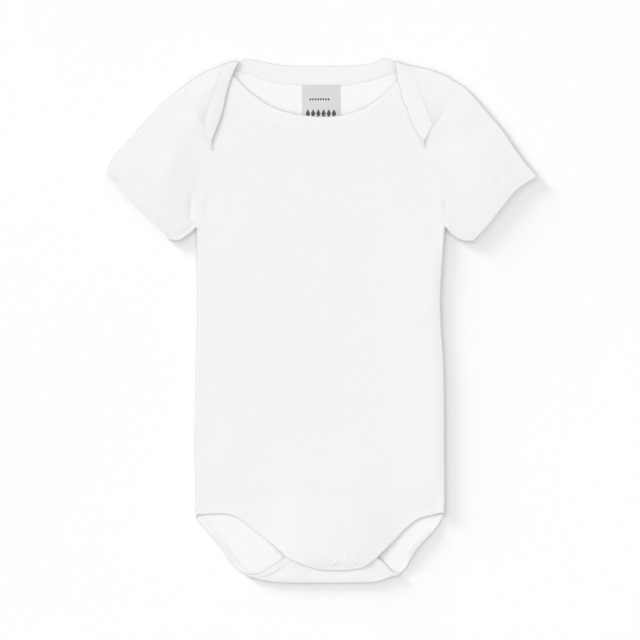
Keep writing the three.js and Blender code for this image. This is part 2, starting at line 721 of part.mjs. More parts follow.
function sleeve(side) {
  const seamSide = side.armhole.map((row) => ({ x: row.x + (side.sign * seamGap) / 2, y: row.y }));
  const reach = (sleeveEdgeHeight - backLevel) / 2 + clothWall / 2;
  const outer = beside(side.sleeveOuter, -side.sign * reach);
  const under = beside(side.sleeveUnder, side.sign * reach);
  const armhole = through([outer(0), ...[...seamSide].reverse().slice(1), under(0)]);
  const hem = through([outer(1), ...quarters.slice(0, 3).map((share) => side.sleeveHem(share)), under(1)]);
  const sheet = filled(armhole, hem, outer, under);
  const upper = (f, s) => {
    const place = sheet(f, s);
    const puff = side.sleevePuff * Math.sin(puffRun * s + puffStart);
    const height = (puff + foldHeight(side.sleeveFolds, place)) * Math.sin(Math.PI * f);
    return point(place, sleeveEdgeHeight + height);
  };
  const rounded = (line, s, way) => {
    const left = leftOf(line, s);
    const out = { x: way * left.x, y: way * left.y };
    return folded(() => line(s), () => out, () => backLevel, () => sleeveEdgeHeight);
  };
  const across = shares(armRows);
  const turns = shares(rollSteps).slice(1, -1);
  const rings = shares(sleeveRows).map((s) => {
    const low = across.map((f) => point(sheet(f, s), backLevel)).reverse();
    const high = across.map((f) => upper(f, s));
    const underTurn = turns.map((v) => rounded(under, s, -side.sign)(0, 1 - v));
    const outerTurn = turns.map((v) => rounded(outer, s, side.sign)(0, v));
    return [...high, ...underTurn, ...low, ...outerTurn, high[0].clone()];
  });
  return wall([rings], clothWall);
}

// The label is a small flat ribbon, sewn into the seam of the back neck's binding
function neckLabel() {
  const level = clothWall + layerGap + label.wall / 2;
  const rows = grid(shares(4), shares(6), (u, v) =>
    point({ x: lerp(label.left, label.right, u), y: lerp(label.bottom, label.top, v) }, level),
  );
  return wall([rows], label.wall);
}

// Turned parts of a snap, as closed profiles round the Z axis
const profile = (rows) => rows.map(([radius, height]) => new THREE.Vector2(radius, height));

// LatheGeometry turns round Y, so the result is laid over to stand on Z
const turned = (rows, count) => new THREE.LatheGeometry(rows, count).rotateX(Math.PI / 2);

function ringGeometry({ inner, height, slope, sides: count }) {
  const rows = profile([
    [inner, 0], [snapRadius, 0], [snapRadius - slope, height], [inner + slope, height], [inner, 0],
  ]);
  return turned(rows, count);
}

function socketGeometry({ outer, bore, height, sides: count }) {
  return turned(profile([[bore, 0], [outer, 0], [outer, height], [bore, height], [bore, 0]]), count);
}

function studGeometry({ flange, flangeHeight, post, height, sides: count }) {
  const shoulder = [[flange, 0], [flange, flangeHeight], [post, flangeHeight]];
  return turned(profile([[0, 0], ...shoulder, [post, height], [0, height]]), count);
}

const group = new THREE.Group();

function add(name, geometry, color, roughness) {
  const mesh = new THREE.Mesh(geometry, new THREE.MeshStandardMaterial({ color, roughness, metalness: 0 }));
  mesh.name = name;
  group.add(mesh);
  return mesh;
}

// A snap's part seated on a layer: above it, or below it, along the layer's own direction
function seat(mesh, place, heightAt, lift) {
  const step = 2;
  const at = (dx, dy) => heightAt({ x: place.x + dx, y: place.y + dy });
  const slopeX = (at(step, 0) - at(-step, 0)) / (2 * step);
  const slopeY = (at(0, step) - at(0, -step)) / (2 * step);
  const up = new THREE.Vector3(-slopeX, -slopeY, 1).normalize();
  mesh.quaternion.setFromUnitVectors(new THREE.Vector3(0, 0, 1), up);
  mesh.position.copy(point(place, heightAt(place)).addScaledVector(up, lift));
}

add("back_panel", backPanel(), jerseyColour, clothRoughness);
add("front_panel", frontPanel(), jerseyColour, clothRoughness);
add("front_neckband", frontNeckband(), bandColour, clothRoughness);
add("back_neckband", backNeckband(), bandColour, clothRoughness);
for (const [name, side] of Object.entries(sides)) {
  add(`sleeve_${name}`, sleeve(side), jerseyColour, clothRoughness);
  add(`leg_band_${name}`, legBand(side), bandColour, clothRoughness);
}
add("neck_label", neckLabel(), labelColour, labelRoughness);

// A snap's four parts: a ring on the flap's face and its socket underneath, a stud on the
// tab's upper face and its ring underneath
const snapClear = 0.35;
const above = clothWall / 2 + snapClear;
const snapParts = [
  { name: "ring", shape: ringGeometry, sizes: snapRing, layer: frontHeight, lift: above },
  { name: "socket", shape: socketGeometry, sizes: snapSocket, layer: frontHeight, lift: -above },
  { name: "stud", shape: studGeometry, sizes: snapStud, layer: tabHeight, lift: above },
  { name: "back_ring", shape: ringGeometry, sizes: snapRing, layer: tabHeight, lift: -above },
];
snapPlaces.forEach((place, i) => {
  for (const { name, shape, sizes, layer, lift } of snapParts) {
    const base = lift > 0 ? lift : lift - sizes.height;
    seat(add(`snap_${i + 1}_${name}`, shape(sizes), snapColour, snapRoughness), place, layer, base);
  }
});

export default group;
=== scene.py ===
# A baby's short-sleeved bodysuit laid flat on a pale floor, seen from straight above.
# Plans and heights are in millimetres, and become metres when a mesh is made.
import math

import bmesh
import bpy
import numpy as np
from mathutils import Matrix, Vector


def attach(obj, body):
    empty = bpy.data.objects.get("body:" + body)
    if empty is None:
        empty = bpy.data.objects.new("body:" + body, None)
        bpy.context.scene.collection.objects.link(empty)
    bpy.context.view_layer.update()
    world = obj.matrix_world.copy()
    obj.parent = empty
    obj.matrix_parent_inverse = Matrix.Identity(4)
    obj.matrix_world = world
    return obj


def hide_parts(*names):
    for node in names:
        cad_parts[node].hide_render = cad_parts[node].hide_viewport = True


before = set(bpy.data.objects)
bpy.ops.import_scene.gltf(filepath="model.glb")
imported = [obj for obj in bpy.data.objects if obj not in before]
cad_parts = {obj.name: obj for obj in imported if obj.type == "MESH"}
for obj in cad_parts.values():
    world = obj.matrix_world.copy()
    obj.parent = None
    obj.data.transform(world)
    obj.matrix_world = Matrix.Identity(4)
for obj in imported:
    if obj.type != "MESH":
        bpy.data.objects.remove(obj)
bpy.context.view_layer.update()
mm = 0.001

# sizes that every piece shares
cloth = {
    "wall": 0.9,
    "bandWall": 1.15,
    "solidWall": 1.0,  # the solid model's walls, which set how far in a fold's middle lies
    "solidBandWall": 1.4,
    "neckBandWidth": 12.6,
    "legBandWidth": 6.0,
    "tuck": 0.8,  # how far a panel runs inside its band
    "tuckDrop": 0.06,  # how far a hidden edge lies below what covers it
    "backLevel": 0.5,
    "bandLevel": 0.7,
    "frontLevel": 2.2,
    "flapLift": 1.75,
    "tabLevel": 2.4,
    "seamDepth": 0.12,
    "seamWidth": 1.3,
}
flapLevel = cloth["frontLevel"] + cloth["flapLift"]

# numbers of steps of the grids
steps = {
    "roll": 12, "side": 34, "middle": 84, "below": 150, "above": 66, "strip": 3, "rollOn": 4,
    "flap": 34, "flapEnd": 8, "lap": 84, "tab": 20, "tabBand": 40, "sleeve": 64, "band": 14,
    "frontNeck": 190, "backNeck": 120, "legFront": 100, "legBack": 80, "label": 40,
    "labelUp": 48, "ring": 48, "corner": 5,
}
travelReach = 0.004  # shares each way over which a curve's direction is taken
underarmShare = 0.66  # of a panel's length
sideways, upwards = np.array([1.0, 0.0]), np.array([0.0, 1.0])


# curves and sheets in plan
def rowsOf(text):
    # "x y, x y, ..." becomes an array of points
    return np.array([[float(value) for value in pair.split()] for pair in text.split(",")])


def shares(count):
    return np.linspace(0, 1, count + 1)


def sharesOf(name):
    return shares(steps[name])


def grid(across, up):
    # the shares u and v of a grid, by the names of its numbers of steps
    return np.meshgrid(sharesOf(across), sharesOf(up))


quarters, tenths = shares(4), shares(10)
# shares along the lines whose distance is taken
lineShares, shortShares, seamShares = shares(80), shares(60), shares(120)


def unit(vectors):
    return vectors / np.maximum(np.linalg.norm(vectors, axis=-1, keepdims=True), 1e-9)


def runOf(line):
    # the distance along a line to each of its points
    return np.concatenate([[0], np.linalg.norm(np.diff(line, axis=0), axis=-1).cumsum()])


def smooth(value, low, high):
    # 3t2 - 2t3 for t from 0 at low to 1 at high
    t = np.clip((value - low) / (high - low), 0, 1)
    return t * t * (3 - 2 * t)


def plateau(value, low, full, fall, high):
    # up from 0 to 1 between low and full, and down again between fall and high
    return smooth(value, low, full) * (1 - smooth(value, fall, high))


def bell(value, spread, power=2):
    # exp(-(value / spread)^power)
    return np.exp(-((value / spread) ** power))


def between(first, second, share):
    # first * (1 - share) + second * share
    return first * (1 - share) + second * share


def mix(first, second, share):
    # the same for places, which have one axis more than their shares
    return between(first, second, np.asarray(share, float)[..., None])


def through(rows):
    # cubic pieces through the rows, whose slopes come from the rows on each side
    rows = np.array([np.asarray(row, float) for row in rows])
    times = runOf(rows)
    number = np.arange(len(rows))
    before, after = np.maximum(number - 1, 0), np.minimum(number + 1, len(rows) - 1)
    slopes = (rows[after] - rows[before]) / (times[after] - times[before])[:, None]

    def curve(share):
        time = np.clip(np.asarray(share, float), 0, 1) * times[-1]
        i = np.clip(np.searchsorted(times, time) - 1, 0, len(rows) - 2)
        span = (times[i + 1] - times[i])[..., None]
        t = (time - times[i])[..., None] / span
        return (
            rows[i] * (2 * t**3 - 3 * t**2 + 1)
            + slopes[i] * span * (t**3 - 2 * t**2 + t)
            + rows[i + 1] * (3 * t**2 - 2 * t**3)
            + slopes[i + 1] * span * (t**3 - t**2)
        )

    return curve


def backwards(curve):
    return lambda share: curve(1 - np.asarray(share, float))


def straight(start, end):
    return lambda share: mix(start, end, share)


def leftOf(curve, share):
    # the unit vector to the left of the curve's travel
    share = np.asarray(share, float)
    ahead, behind = np.minimum(share + travelReach, 1), np.maximum(share - travelReach, 0)
    travel = curve(ahead) - curve(behind)
    return unit(np.stack([-travel[..., 1], travel[..., 0]], -1))


def beside(curve, distance):
    return lambda share: curve(share) + leftOf(curve, share) * distance


def shifted(curve, shift):
    return lambda share: curve(share) + shift


def cornered(curve, start, end, power=6):
    # the curve's ends move to two points, and the shift dies away inwards by a power
    first, last = start - curve(0.0), end - curve(1.0)

    def moved(share):
        share = np.asarray(share, float)[..., None]
        return curve(share[..., 0]) + first * (1 - share) ** power + last * share**power

    return moved


def filled(bottom, top, left, right):
    # ruled between bottom and top, plus ruled between left and right, less the straight corners
    def sheet(u, v):
        corners = mix(mix(bottom(0), bottom(1), u), mix(top(0), top(1), u), v)
        return mix(bottom(u), top(u), v) + mix(left(v), right(v), u) - corners

    return sheet


def distanceTo(places, line):
    # the least distance from each place to the pieces of an open line of points
    flat = places.reshape(-1, 1, 2)
    start, step = line[None, :-1], np.diff(line, axis=0)[None]
    t = np.clip(((flat - start) * step).sum(-1) / (step**2).sum(-1), 0, 1)[..., None]
    nearest = np.linalg.norm(flat - start - t * step, axis=-1).min(axis=1)
    return nearest.reshape(places.shape[:-1])


# the measured outlines, each on the left and then on the right, as the viewer sees them
outlines = {
    "side": (
        "-92.6 -146, -93.2 -109, -92.4 -43, -91.3 1, -91.2 40, -92 66",
        "89.9 -143, 89.5 -95, 89 -36, 87.3 -10, 86.6 20, 88.3 50, 89.6 66",
    ),
    "armhole": (
        "-90.6 77, -88.8 88.3, -85.3 105, -83 118, -82.8 127.5, -87.3 139.9, -91.9 150.1,"
        "-95.8 159.4, -101 168.2",
        "88.2 77, 84 91, 79.4 106.6, 75.2 120, 74.8 130, 78.4 137.2, 85.7 148.2, 92.2 161.3,"
        "97.2 172.4",
    ),
    "shoulder": (
        "-102.6 170.3, -96 175.5, -88 180.8, -76.4 185.9, -67.8 189, -61.8 190.3",
        "98.2 174.2, 91.5 178.7, 83.5 182, 76 184.4, 66 186.3, 59.5 188, 53.4 190.2",
    ),
    "lapEdge": (
        "-64.7 181.3, -69.4 167.2, -72.5 153.3, -76.4 141.6, -80.6 131.4, -81.2 125.4",
        "55 175, 58.7 161, 62 153.3, 65 144.5, 68.9 136.9, 72.2 132, 73.2 127",
    ),
    "lapSeam": ("-79.3 168, -84.6 152, -86.4 142.6", "70.8 168, 77.6 150, 80.2 142.6"),
    "lapTip": (
        "-86.4 142.6, -85.6 138.2, -82 128.8, -82.1 125",
        "80.2 142.6, 77.2 137.2, 74 130.8, 74.1 126.4",
    ),
    "frontShoulder": ("-99.2 166.3, -93 172.2, -86 176", "95.2 170.1, 88.5 174.6, 79 177"),
    "frontLeg": (
        "-87.9 -141.2, -79 -140.8, -69.8 -141, -60 -144.6, -49.3 -153, -39 -161, -28.5 -169.9",
        "85.4 -140.1, 78.4 -142, 70 -144.4, 61 -151.2, 52.6 -159.9, 47 -165.4, 40.6 -171.4",
    ),
    "backLeg": (
        "-90.4 -146, -84 -153.4, -78 -160, -72.4 -167.6, -66.8 -175.6, -61 -182, -55.2 -185.3",
        "87.7 -143, 83 -150.6, 77 -157, 70 -164.6, 65 -172, 61 -179.6, 56.7 -184.3",
    ),
    "backSeam": (
        "-90.4 -139.6, -84.4 -144.4, -76.4 -153, -70.2 -161, -64 -170, -57.4 -178.6, -48.4 -186.6",
        "87.7 -137, 81.6 -143.4, 73.8 -151.6, 67 -159, 60.6 -169, 56.6 -177.6, 50.8 -185.4",
    ),
    "tabEdge": (
        "-55.2 -185.3, -45.7 -183.9, -36.9 -178.9, -27.3 -172.1, -19 -161",
        "56.7 -184.3, 51 -182.4, 44.6 -175.8, 39.7 -172.1, 31.5 -161",
    ),
    "tabSeam": (
        "-48.4 -186.6, -40.6 -185.6, -32 -181, -22.6 -173.6, -14 -163.8",
        "50.8 -185.4, 45 -183.9, 38.8 -179, 33.6 -172.8, 26.6 -163.8",
    ),
    "sleeveOuter": (
        "-103.4 169.2, -115 159.6, -125.3 149.5, -138 135.6, -150.1 122, -155 114.4, -156.6 106.4",
        "99.3 173.6, 104.9 169.8, 118.3 154.8, 131.7 139.4, 141.4 124.8, 149.2 114.4, 156.6 106",
    ),
    "sleeveUnder": (
        "-91.9 67.3, -97 62.6, -104.8 58.2, -112.4 58.9",
        "90 67.3, 93.8 63, 98.4 59.8, 103.4 57.9, 110.6 57.6",
    ),
    "sleeveHem": (
        "-156.6 106.4, -149.4 97.8, -134 83.2, -121 70.6, -112.4 58.9",
        "156.6 106, 146 99.2, 138.8 93.4, 126.2 77.4, 118.6 67.6, 110.6 57.6",
    ),
}
sideSpan = (-146, 66)  # the side outline's range along y
backNeckEdge = rowsOf(
    "-56.4 190.9, -49.3 190.2, -41.3 188.6, -33.3 187.1, -18.7 185.9, 0 185.7, 19.3 186.2,"
    "31 187, 38.6 188.9, 43.5 191.1, 48.6 191.2"
)
backNeckSeam = rowsOf(
    "-61.8 182.1, -52 179.8, -41.3 175.6, -33.3 173.8, -24 172.6, 0 171.9, 14 171.8,"
    "22 172.7, 36.8 176.1, 44.8 178.5, 53 181.6"
)
frontNeckEdge = rowsOf(
    "-70.2 183.6, -63.9 178.2, -53.7 167.9, -46.8 162.6, -39.1 157.5, -27.4 152.8,"
    "-15.8 150.1, -0.4 148.9, 12 149.6, 22 152, 31 155.7, 41.9 163.5, 53.4 173.6, 60.4 181.6"
)
flapHem = rowsOf(
    "-28.1 -170.3, -21 -174.3, -12 -178, -2 -180.8, 10 -181.4, 20 -181, 30 -178.9, 40.2 -171.8"
)
crotchFold = rowsOf(
    "-48.4 -186.6, -39 -188.8, -28 -189.8, 0 -190, 28 -189.8, 38 -189.4, 50.8 -185.4"
)
snapPlaces = rowsOf("-11.6 -170.2, 6.3 -173, 21.6 -172.2")

# soft ridges and troughs: middle x and y, turn in degrees, length, half width, height
frontFolds = rowsOf(
    "64 2 22 44 9 0.35, -18 -117 2 92 7 0.45, 42 -124 -4 60 6 0.35, -66 -96 74 40 9 0.35,"
    "-60 60 58 46 10 0.4, 58 78 -52 44 10 0.4, -34 -66 12 60 12 0.3, 10 84 -6 70 14 0.3"
)
frontCreases = rowsOf(
    "70 -8 24 46 6 -0.25, -20 -127 1 104 6 -0.2, -74 138 70 22 7 -0.35, 61 134 -62 20 7 -0.3,"
    "-83 83 84 26 7 -0.4, 80 92 -80 24 6 -0.2, -62 -18 82 90 12 0.15, 34 -70 86 80 14 0.12,"
    "-8 128 3 56 8 0.12, 12 40 88 90 16 0.12, -40 20 -76 70 14 0.12, 56 40 70 60 13 0.14,"
    "-50 -138 -20 40 7 0.15, 60 -128 24 34 7 0.15, 5 -150 0 60 9 0.15"
)
sleeveFolds = {
    "left": rowsOf("-104 128 62 46 8 0.7, -119 104 48 50 9 0.6, -98 98 84 34 6 0.6"),
    "right": rowsOf("103 132 -56 48 10 0.5, 122 104 -44 44 11 0.5, 95 100 -76 34 7 0.5"),
}
sleeveCreases = {
    "left": rowsOf(
        "-96 80 88 22 2.4 -0.85, -121 101 60 30 7 -0.45, -136 112 52 30 8 0.2,"
        "-106 73 38 30 6 -0.3, -112 146 46 40 8 -0.2"
    ),
    "right": rowsOf(
        "89.6 81 -82 18 2.2 -0.6, 132 116 -50 34 10 0.2, 110 78 30 30 8 -0.15,"
        "108 150 -48 40 9 -0.15"
    ),
}
backCreases = rowsOf(
    "-30 120 24 90 9 0.35, 40 60 -30 80 10 0.3, -20 -20 64 90 12 0.35, 30 -100 10 90 10 0.4,"
    "-50 -90 80 60 9 0.3, 10 160 4 70 8 0.3, 55 150 -40 40 7 0.3, -66 40 86 70 8 0.3"
)
tabCreases = rowsOf(
    "10 -183.6 -2 30 3 -0.2, -36 -185.5 24 22 6 -0.5, 39 -184.5 -30 18 6 -0.5,"
    "-24 -186.5 22 24 4 0.3, 30 -187 -24 18 4 0.25"
)


def foldHeight(folds, places):
    # the sum of height * exp(-along^4 - across^2) over the rows
    height = np.zeros(places.shape[:-1])
    for x, y, turn, length, width, rise in folds:
        away = places - [x, y]
        run, lift = math.cos(math.radians(turn)), math.sin(math.radians(turn))
        along = (away[..., 0] * run + away[..., 1] * lift) / (length / 2)
        across = (away[..., 1] * run - away[..., 0] * lift) / width
        height = height + rise * np.exp(-(along**4) - across**2)
    return height


# what differs between the two sides: the left's value, and then the right's
sideSizes = {
    "name": ("left", "right"),
    "sign": (-1, 1),
    "level": (2.6, 3.6),  # where the back's roll ends, at the side seam
    "swell": (0.0, 0.8),  # of the front beside the side seam
    "clothShare": (0.72, 0.76),  # of the shoulder's fold that is cloth, and the rest is band
    "flapShare": (0.29, 0.3),  # of the armhole, from its top, that the flap takes
    "flapOpen": (0.9, 0.0),  # how high the flap swells beside its edge
    "flapWidth": (11, 14),  # over what distance it does so
    "flapEdge": (-0.3, -0.5),  # how far its edge falls
    "flapGroove": (0.12, 0.1),  # the depth of its seam at the armhole
    "pressLevel": (1.9, 2.4),  # of the front beside the leg's edge, where it is pressed down
    "pressed": ((26, 50), (44, 60)),  # where that starts and is full, from the middle
    # the left's smaller share keeps its leg band darker, a painted shade where it faces away from the light
    "insideShare": (0.6, 0.85),  # how much the leg's band shows of the inner face's colour
    "tabDroop": (0.4, 0.9),  # of the band's edge on the tab
    "curl": (1.0, 1.8),  # of the band's edge on the back
    "puff": (0.7, 1.0),  # of the sleeve
    "settle": (34, 44),  # how far from the armhole the sleeve reaches its own level
    "underSeam": (3.9, 1.5),  # how far in the underarm seam lies
    "underDepth": (0.5, 0.15),
    "sideGroove": (0.08, 0.3),  # the depth of the side seam
}


def sideOf(place):
    # the sizes, the rows of each outline, and by the outline's name the curve through them
    rows = {key: rowsOf(texts[place]) for key, texts in outlines.items()}
    curves = {key: through(points) for key, points in rows.items()}
    return {key: pair[place] for key, pair in sideSizes.items()} | curves | {"rows": rows}


leftSide, rightSide = bothSides = [sideOf(0), sideOf(1)]
shoulderReach = (flapLevel - cloth["backLevel"]) / 2 + cloth["solidWall"] / 2


def sideFold(side):
    reach = (side["level"] - cloth["backLevel"]) / 2 + cloth["solidWall"] / 2
    return shifted(side["side"], -side["sign"] * reach * sideways)


def shoulderFold(side):
    return beside(side["shoulder"], side["sign"] * shoulderReach)


def shoulderOutward(side, share):
    return -side["sign"] * leftOf(side["shoulder"], share)


def frontSeam(side, width):
    return beside(side["frontLeg"], -side["sign"] * width)


seamCorners = [shoulderFold(side)(side["clothShare"]) for side in bothSides]
edgeCorners = [shoulderFold(side)(1.0) for side in bothSides]
neckSeam = through([seamCorners[0], *backNeckSeam, seamCorners[1]])
neckEdge = through([edgeCorners[0], *backNeckEdge, edgeCorners[1]])
for side, seamCorner, edgeCorner in zip(bothSides, seamCorners, edgeCorners):
    side["lapSeam"] = through([seamCorner, *side["rows"]["lapSeam"]])
    side["lapEdge"] = through([edgeCorner, *side["rows"]["lapEdge"]])

# how the front's level rises and falls: ranges are (start, full) or (start, full, fall, end)
rises = {
    "side": {"flat": 3, "spread": 38, "fall": (40, 100)},
    "swell": {"across": (0, 7, 7, 40), "along": (-140, -120, 30, 66)},
    "neck": {"x": -1, "y": 149, "spreadX": 46, "spreadY": 15, "height": 1.0},
    "snap": {"x": 6, "spread": 37.5, "along": (-164, -75), "height": 3.7},
    "hem": {"droop": 2.1, "along": (172, 183)},
    "press": {"share": 0.9, "reach": 30, "inward": (0.5, 9)},
    "ring": {"radius": 3.9, "depth": 0.1, "width": 1.5},
    "flap": {"swell": (12, 44), "edge": (0, 12), "along": (124, 146, 172, 187), "settle": 0.3},
    "tab": {"height": 0.3, "along": (-186, -168)},
}


def ditch(distance, depth, width):
    # a soft groove of that depth and half width, along a seam
    return -depth * bell(distance, width)


def frontHeight(places):
    # level, plus the rise to the side seams, round the neck opening and over the snaps
    x, y = places[..., 0], places[..., 1]
    atSide, swell, neck, snap = [rises[key] for key in ("side", "swell", "neck", "snap")]
    reach = np.clip((y - sideSpan[0]) / (sideSpan[1] - sideSpan[0]), 0, 1)
    inward = [side["sign"] * (side["side"](reach)[..., 0] - x) for side in bothSides]
    height = cloth["frontLevel"] + foldHeight(frontFolds, places)
    for side, away in zip(bothSides, inward):
        edge = bell(np.maximum(away - atSide["flat"], 0), atSide["spread"])
        rise = (side["level"] - cloth["frontLevel"]) * edge * (1 - smooth(y, *atSide["fall"]))
        more = side["swell"] * plateau(away, *swell["across"]) * plateau(y, *swell["along"])
        height = height + rise + more
    atNeck = bell(x - neck["x"], neck["spreadX"], 4) * bell(y - neck["y"], neck["spreadY"])
    overSnaps = snap["height"] * (1 - smooth(y, *snap["along"]))
    overSnaps = overSnaps - rises["hem"]["droop"] * smooth(-y, *rises["hem"]["along"])
    height = height + neck["height"] * atNeck + overSnaps * bell(x - snap["x"], snap["spread"], 4)
    # beside the legs' edges the front is pressed down on to the back, but not over the tab
    press = rises["press"]
    for side, away in zip(bothSides, inward):
        near = 1 - smooth(distanceTo(places, side["frontLeg"](shortShares)), 0, press["reach"])
        off = smooth(side["sign"] * x, *side["pressed"]) * smooth(away, *press["inward"])
        height = between(height, side["pressLevel"], press["share"] * near * off)
    return height


def frontLook(places):
    # the front's level with its small creases, its seam grooves and the press of the snaps
    height = frontHeight(places) + foldHeight(frontCreases, places)
    for side in bothSides:
        away = distanceTo(places, side["armhole"](lineShares))
        height = height + ditch(away, cloth["seamDepth"], cloth["seamWidth"])
    ring = rises["ring"]
    for place in snapPlaces:
        away = np.linalg.norm(places - place, axis=-1)
        height = height + ditch(away - ring["radius"], ring["depth"], ring["width"])
    return height


def flapLook(places, side):
    # a flap lies on the front, swells beside its edge by c (2 - c), and falls towards the edge
    look = rises["flap"]
    away = distanceTo(places, side["lapEdge"](lineShares))
    c = np.clip(away / side["flapWidth"], 0, 1)
    swell = side["flapOpen"] * c * (2 - c) * (1 - smooth(away, *look["swell"]))
    swell = swell + side["flapEdge"] * (1 - smooth(away, *look["edge"]))
    swell = swell * plateau(places[..., 1], *look["along"])
    seam = distanceTo(places, side["armhole"](lineShares))
    groove = ditch(seam, side["flapGroove"], cloth["seamWidth"])
    return frontHeight(places) + cloth["flapLift"] + swell + groove


def settledFlap(places, side, share):
    # level with the shoulder's fold at first, then down on to the front
    return between(flapLevel, flapLook(places, side), smooth(share, 0, rises["flap"]["settle"]))


def tabHeight(places):
    look = rises["tab"]
    return cloth["tabLevel"] + look["height"] * smooth(places[..., 1], *look["along"])


def raised(places, height):
    return np.concatenate([places, np.broadcast_to(height, places.shape[:-1])[..., None]], -1)


def folded(line, outward, low, high, v):
    # half a turn from straight down to straight up, round a line, bulging to one side
    angle = np.pi * (v - 0.5)
    radius = (high - low) / 2
    height = low + radius * (1 + np.sin(angle))
    return raised(line + outward * (radius * np.cos(angle))[..., None], height)


# meshes
def flatFrom(points, swap=False):
    # cloth coordinates from the mean distances between the grid's columns and rows
    across = np.linalg.norm(np.diff(points, axis=1), axis=-1).mean(axis=0)
    along = np.linalg.norm(np.diff(points, axis=0), axis=-1).mean(axis=1)
    runs = [np.concatenate([[0], distances.cumsum()]) for distances in (across, along)]
    u, v = np.meshgrid(*runs)
    return np.stack([v, u] if swap else [u, v], -1)


def flattened(*sheets):
    return [(points, flatFrom(points)) for points in sheets]


def gridNormals(points):
    # the unit cross product of the steps along the columns and the rows
    return unit(np.cross(np.gradient(points, axis=1), np.gradient(points, axis=0)))


def steepness(points):
    # 0 where the sheet lies level and 1 where it turns straight down: 1 - |z of the normal|
    normals = gridNormals(points)
    known = np.linalg.norm(normals, axis=-1) > 0.5
    return np.where(known, 1 - np.abs(normals[..., 2]), 0)


def gridFaces(rows, columns, first=0):
    # the four corners of each cell of a grid whose first vertex has that number
    index = first + np.arange(rows * columns).reshape(rows, columns)
    corners = [index[:-1, :-1], index[:-1, 1:], index[1:, 1:], index[1:, :-1]]
    return np.stack(corners, -1).reshape(-1, 4)


def pieceFrom(name, sheets, replaced, weld=0.02, fade=None):
    # grids become one mesh, the points that they share are welded, and each corner keeps
    # its place on the flat cloth as its uv, in metres
    faces, count = [], 0
    for points, flat in sheets:
        faces.append(gridFaces(*points.shape[:2], count))
        count += points.shape[0] * points.shape[1]
    faces = np.concatenate(faces)
    vertices = np.concatenate([points.reshape(-1, 3) for points, flat in sheets]) * mm
    flats = np.concatenate([flat.reshape(-1, 2) for points, flat in sheets]) * mm
    mesh = bpy.data.meshes.new(name)
    mesh.from_pydata(vertices.tolist(), [], faces.tolist())
    layer = mesh.uv_layers.new(name="cloth")
    layer.uv.foreach_set("vector", flats[faces.ravel()].ravel())
    # how steeply each point turns down, which the cloth materials turn into a painted shade
    marks = {"steep": [steepness(points) for points, flat in sheets]}
    if fade is not None:
        marks["inside"] = fade
    for key, values in marks.items():
        values = np.concatenate([value.ravel() for value in values])
        mesh.attributes.new(key, "FLOAT", "POINT").data.foreach_set("value", values)
    work = bmesh.new()
    work.from_mesh(mesh)
    bmesh.ops.remove_doubles(work, verts=work.verts, dist=weld * mm)
    bmesh.ops.recalc_face_normals(work, faces=work.faces)
    work.to_mesh(mesh)
    work.free()
    mesh.polygons.foreach_set("use_smooth", np.ones(len(mesh.polygons), bool))
    # an edge with one face is a border, and its wall meets the cloth at a corner
    edges = np.empty(len(mesh.loops), int)
    mesh.loops.foreach_get("edge_index", edges)
    borders = np.bincount(edges, minlength=len(mesh.edges)) == 1
    mesh.attributes.new("sharp_edge", "BOOLEAN", "EDGE").data.foreach_set("value", borders)
    piece = bpy.data.objects.new(name, mesh)
    bpy.context.scene.collection.objects.link(piece)
    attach(piece, "root")
    if replaced:
        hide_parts(*replaced)
    return piece


def addWall(piece, thickness):
    shell = piece.modifiers.new("wall", "SOLIDIFY")
    shell.thickness = thickness * mm
    shell.offset = 0
    shell.use_quality_normals = True
    return shell


# how a band swells: over what share of its width and what distance from its ends, the power
# of its round edge, a little more all over, and the angle of its corners
bandSwell = {"across": 0.34, "ends": 16, "round": 18, "more": 0.012, "corner": 60}
# shares across a band: close together at its seam, and again towards its free edge
closeShares = [0, 0.005, 0.012, 0.03]
acrossBand = np.concatenate([closeShares, np.sin(np.pi / 2 * sharesOf("band")[1:])])


def pillow(points, thickness):
    # a ribbon's middle grid swells each way: from the cloth's own wall at the seam and at
    # both ends to the band's wall, and it closes in a round at its free edge
    u = acrossBand
    run = runOf(points[:, -1])
    fromEnds = smooth(np.minimum(run, run[-1] - run), 0, bandSwell["ends"])[:, None]
    extra = (thickness - cloth["wall"]) * (1 - bell(u, bandSwell["across"])) * fromEnds
    edge = np.sqrt(np.clip(1 - u ** bandSwell["round"], 0, 1))
    half = (cloth["wall"] + extra) / 2 * edge + bandSwell["more"]
    half[:, [0, -1]] = 0
    normals = gridNormals(points)
    normals[:, 0] = normals[:, len(closeShares)]
    return points + normals * half[..., None], points - normals * half[..., None]


def bandPiece(name, points, replaced, inside):
    # top and bottom of the pillow; its two ends lie inside other seams
    top, bottom = pillow(points, cloth["bandWall"])
    flat = flatFrom(points, swap=True)
    fade = [inside, inside]
    piece = pieceFrom(name, [(top, flat), (bottom, flat)], replaced, fade=fade)
    # the upright wall at the seam meets the top and the bottom at corners
    piece.data.set_sharp_from_angle(angle=math.radians(bandSwell["corner"]))
    return piece, top, bottom


# the body's panels
panelLook = {
    "wrap": 0.6,  # how far the back comes over the front, and how far the front runs under it
    "under": 0.2,
    "climb": 5,  # the power by which the roll's lower end climbs
    "stripDroop": 0.04,
    "rollOn": 4.0,
    "backBox": ((-86, -66, 64, 84), (-186, -160, 160, 176)),
    "backCrease": 0.8,
    "tabSettle": 0.1,
    "sideSeam": (40, 110),  # from where to where the side seam deepens, downwards
    "sideSeamWidth": 1.0,
    "sideShares": (0.04, 0.1, 0.25, 0.5, 0.75, 1.0),  # where the front's side is taken
}


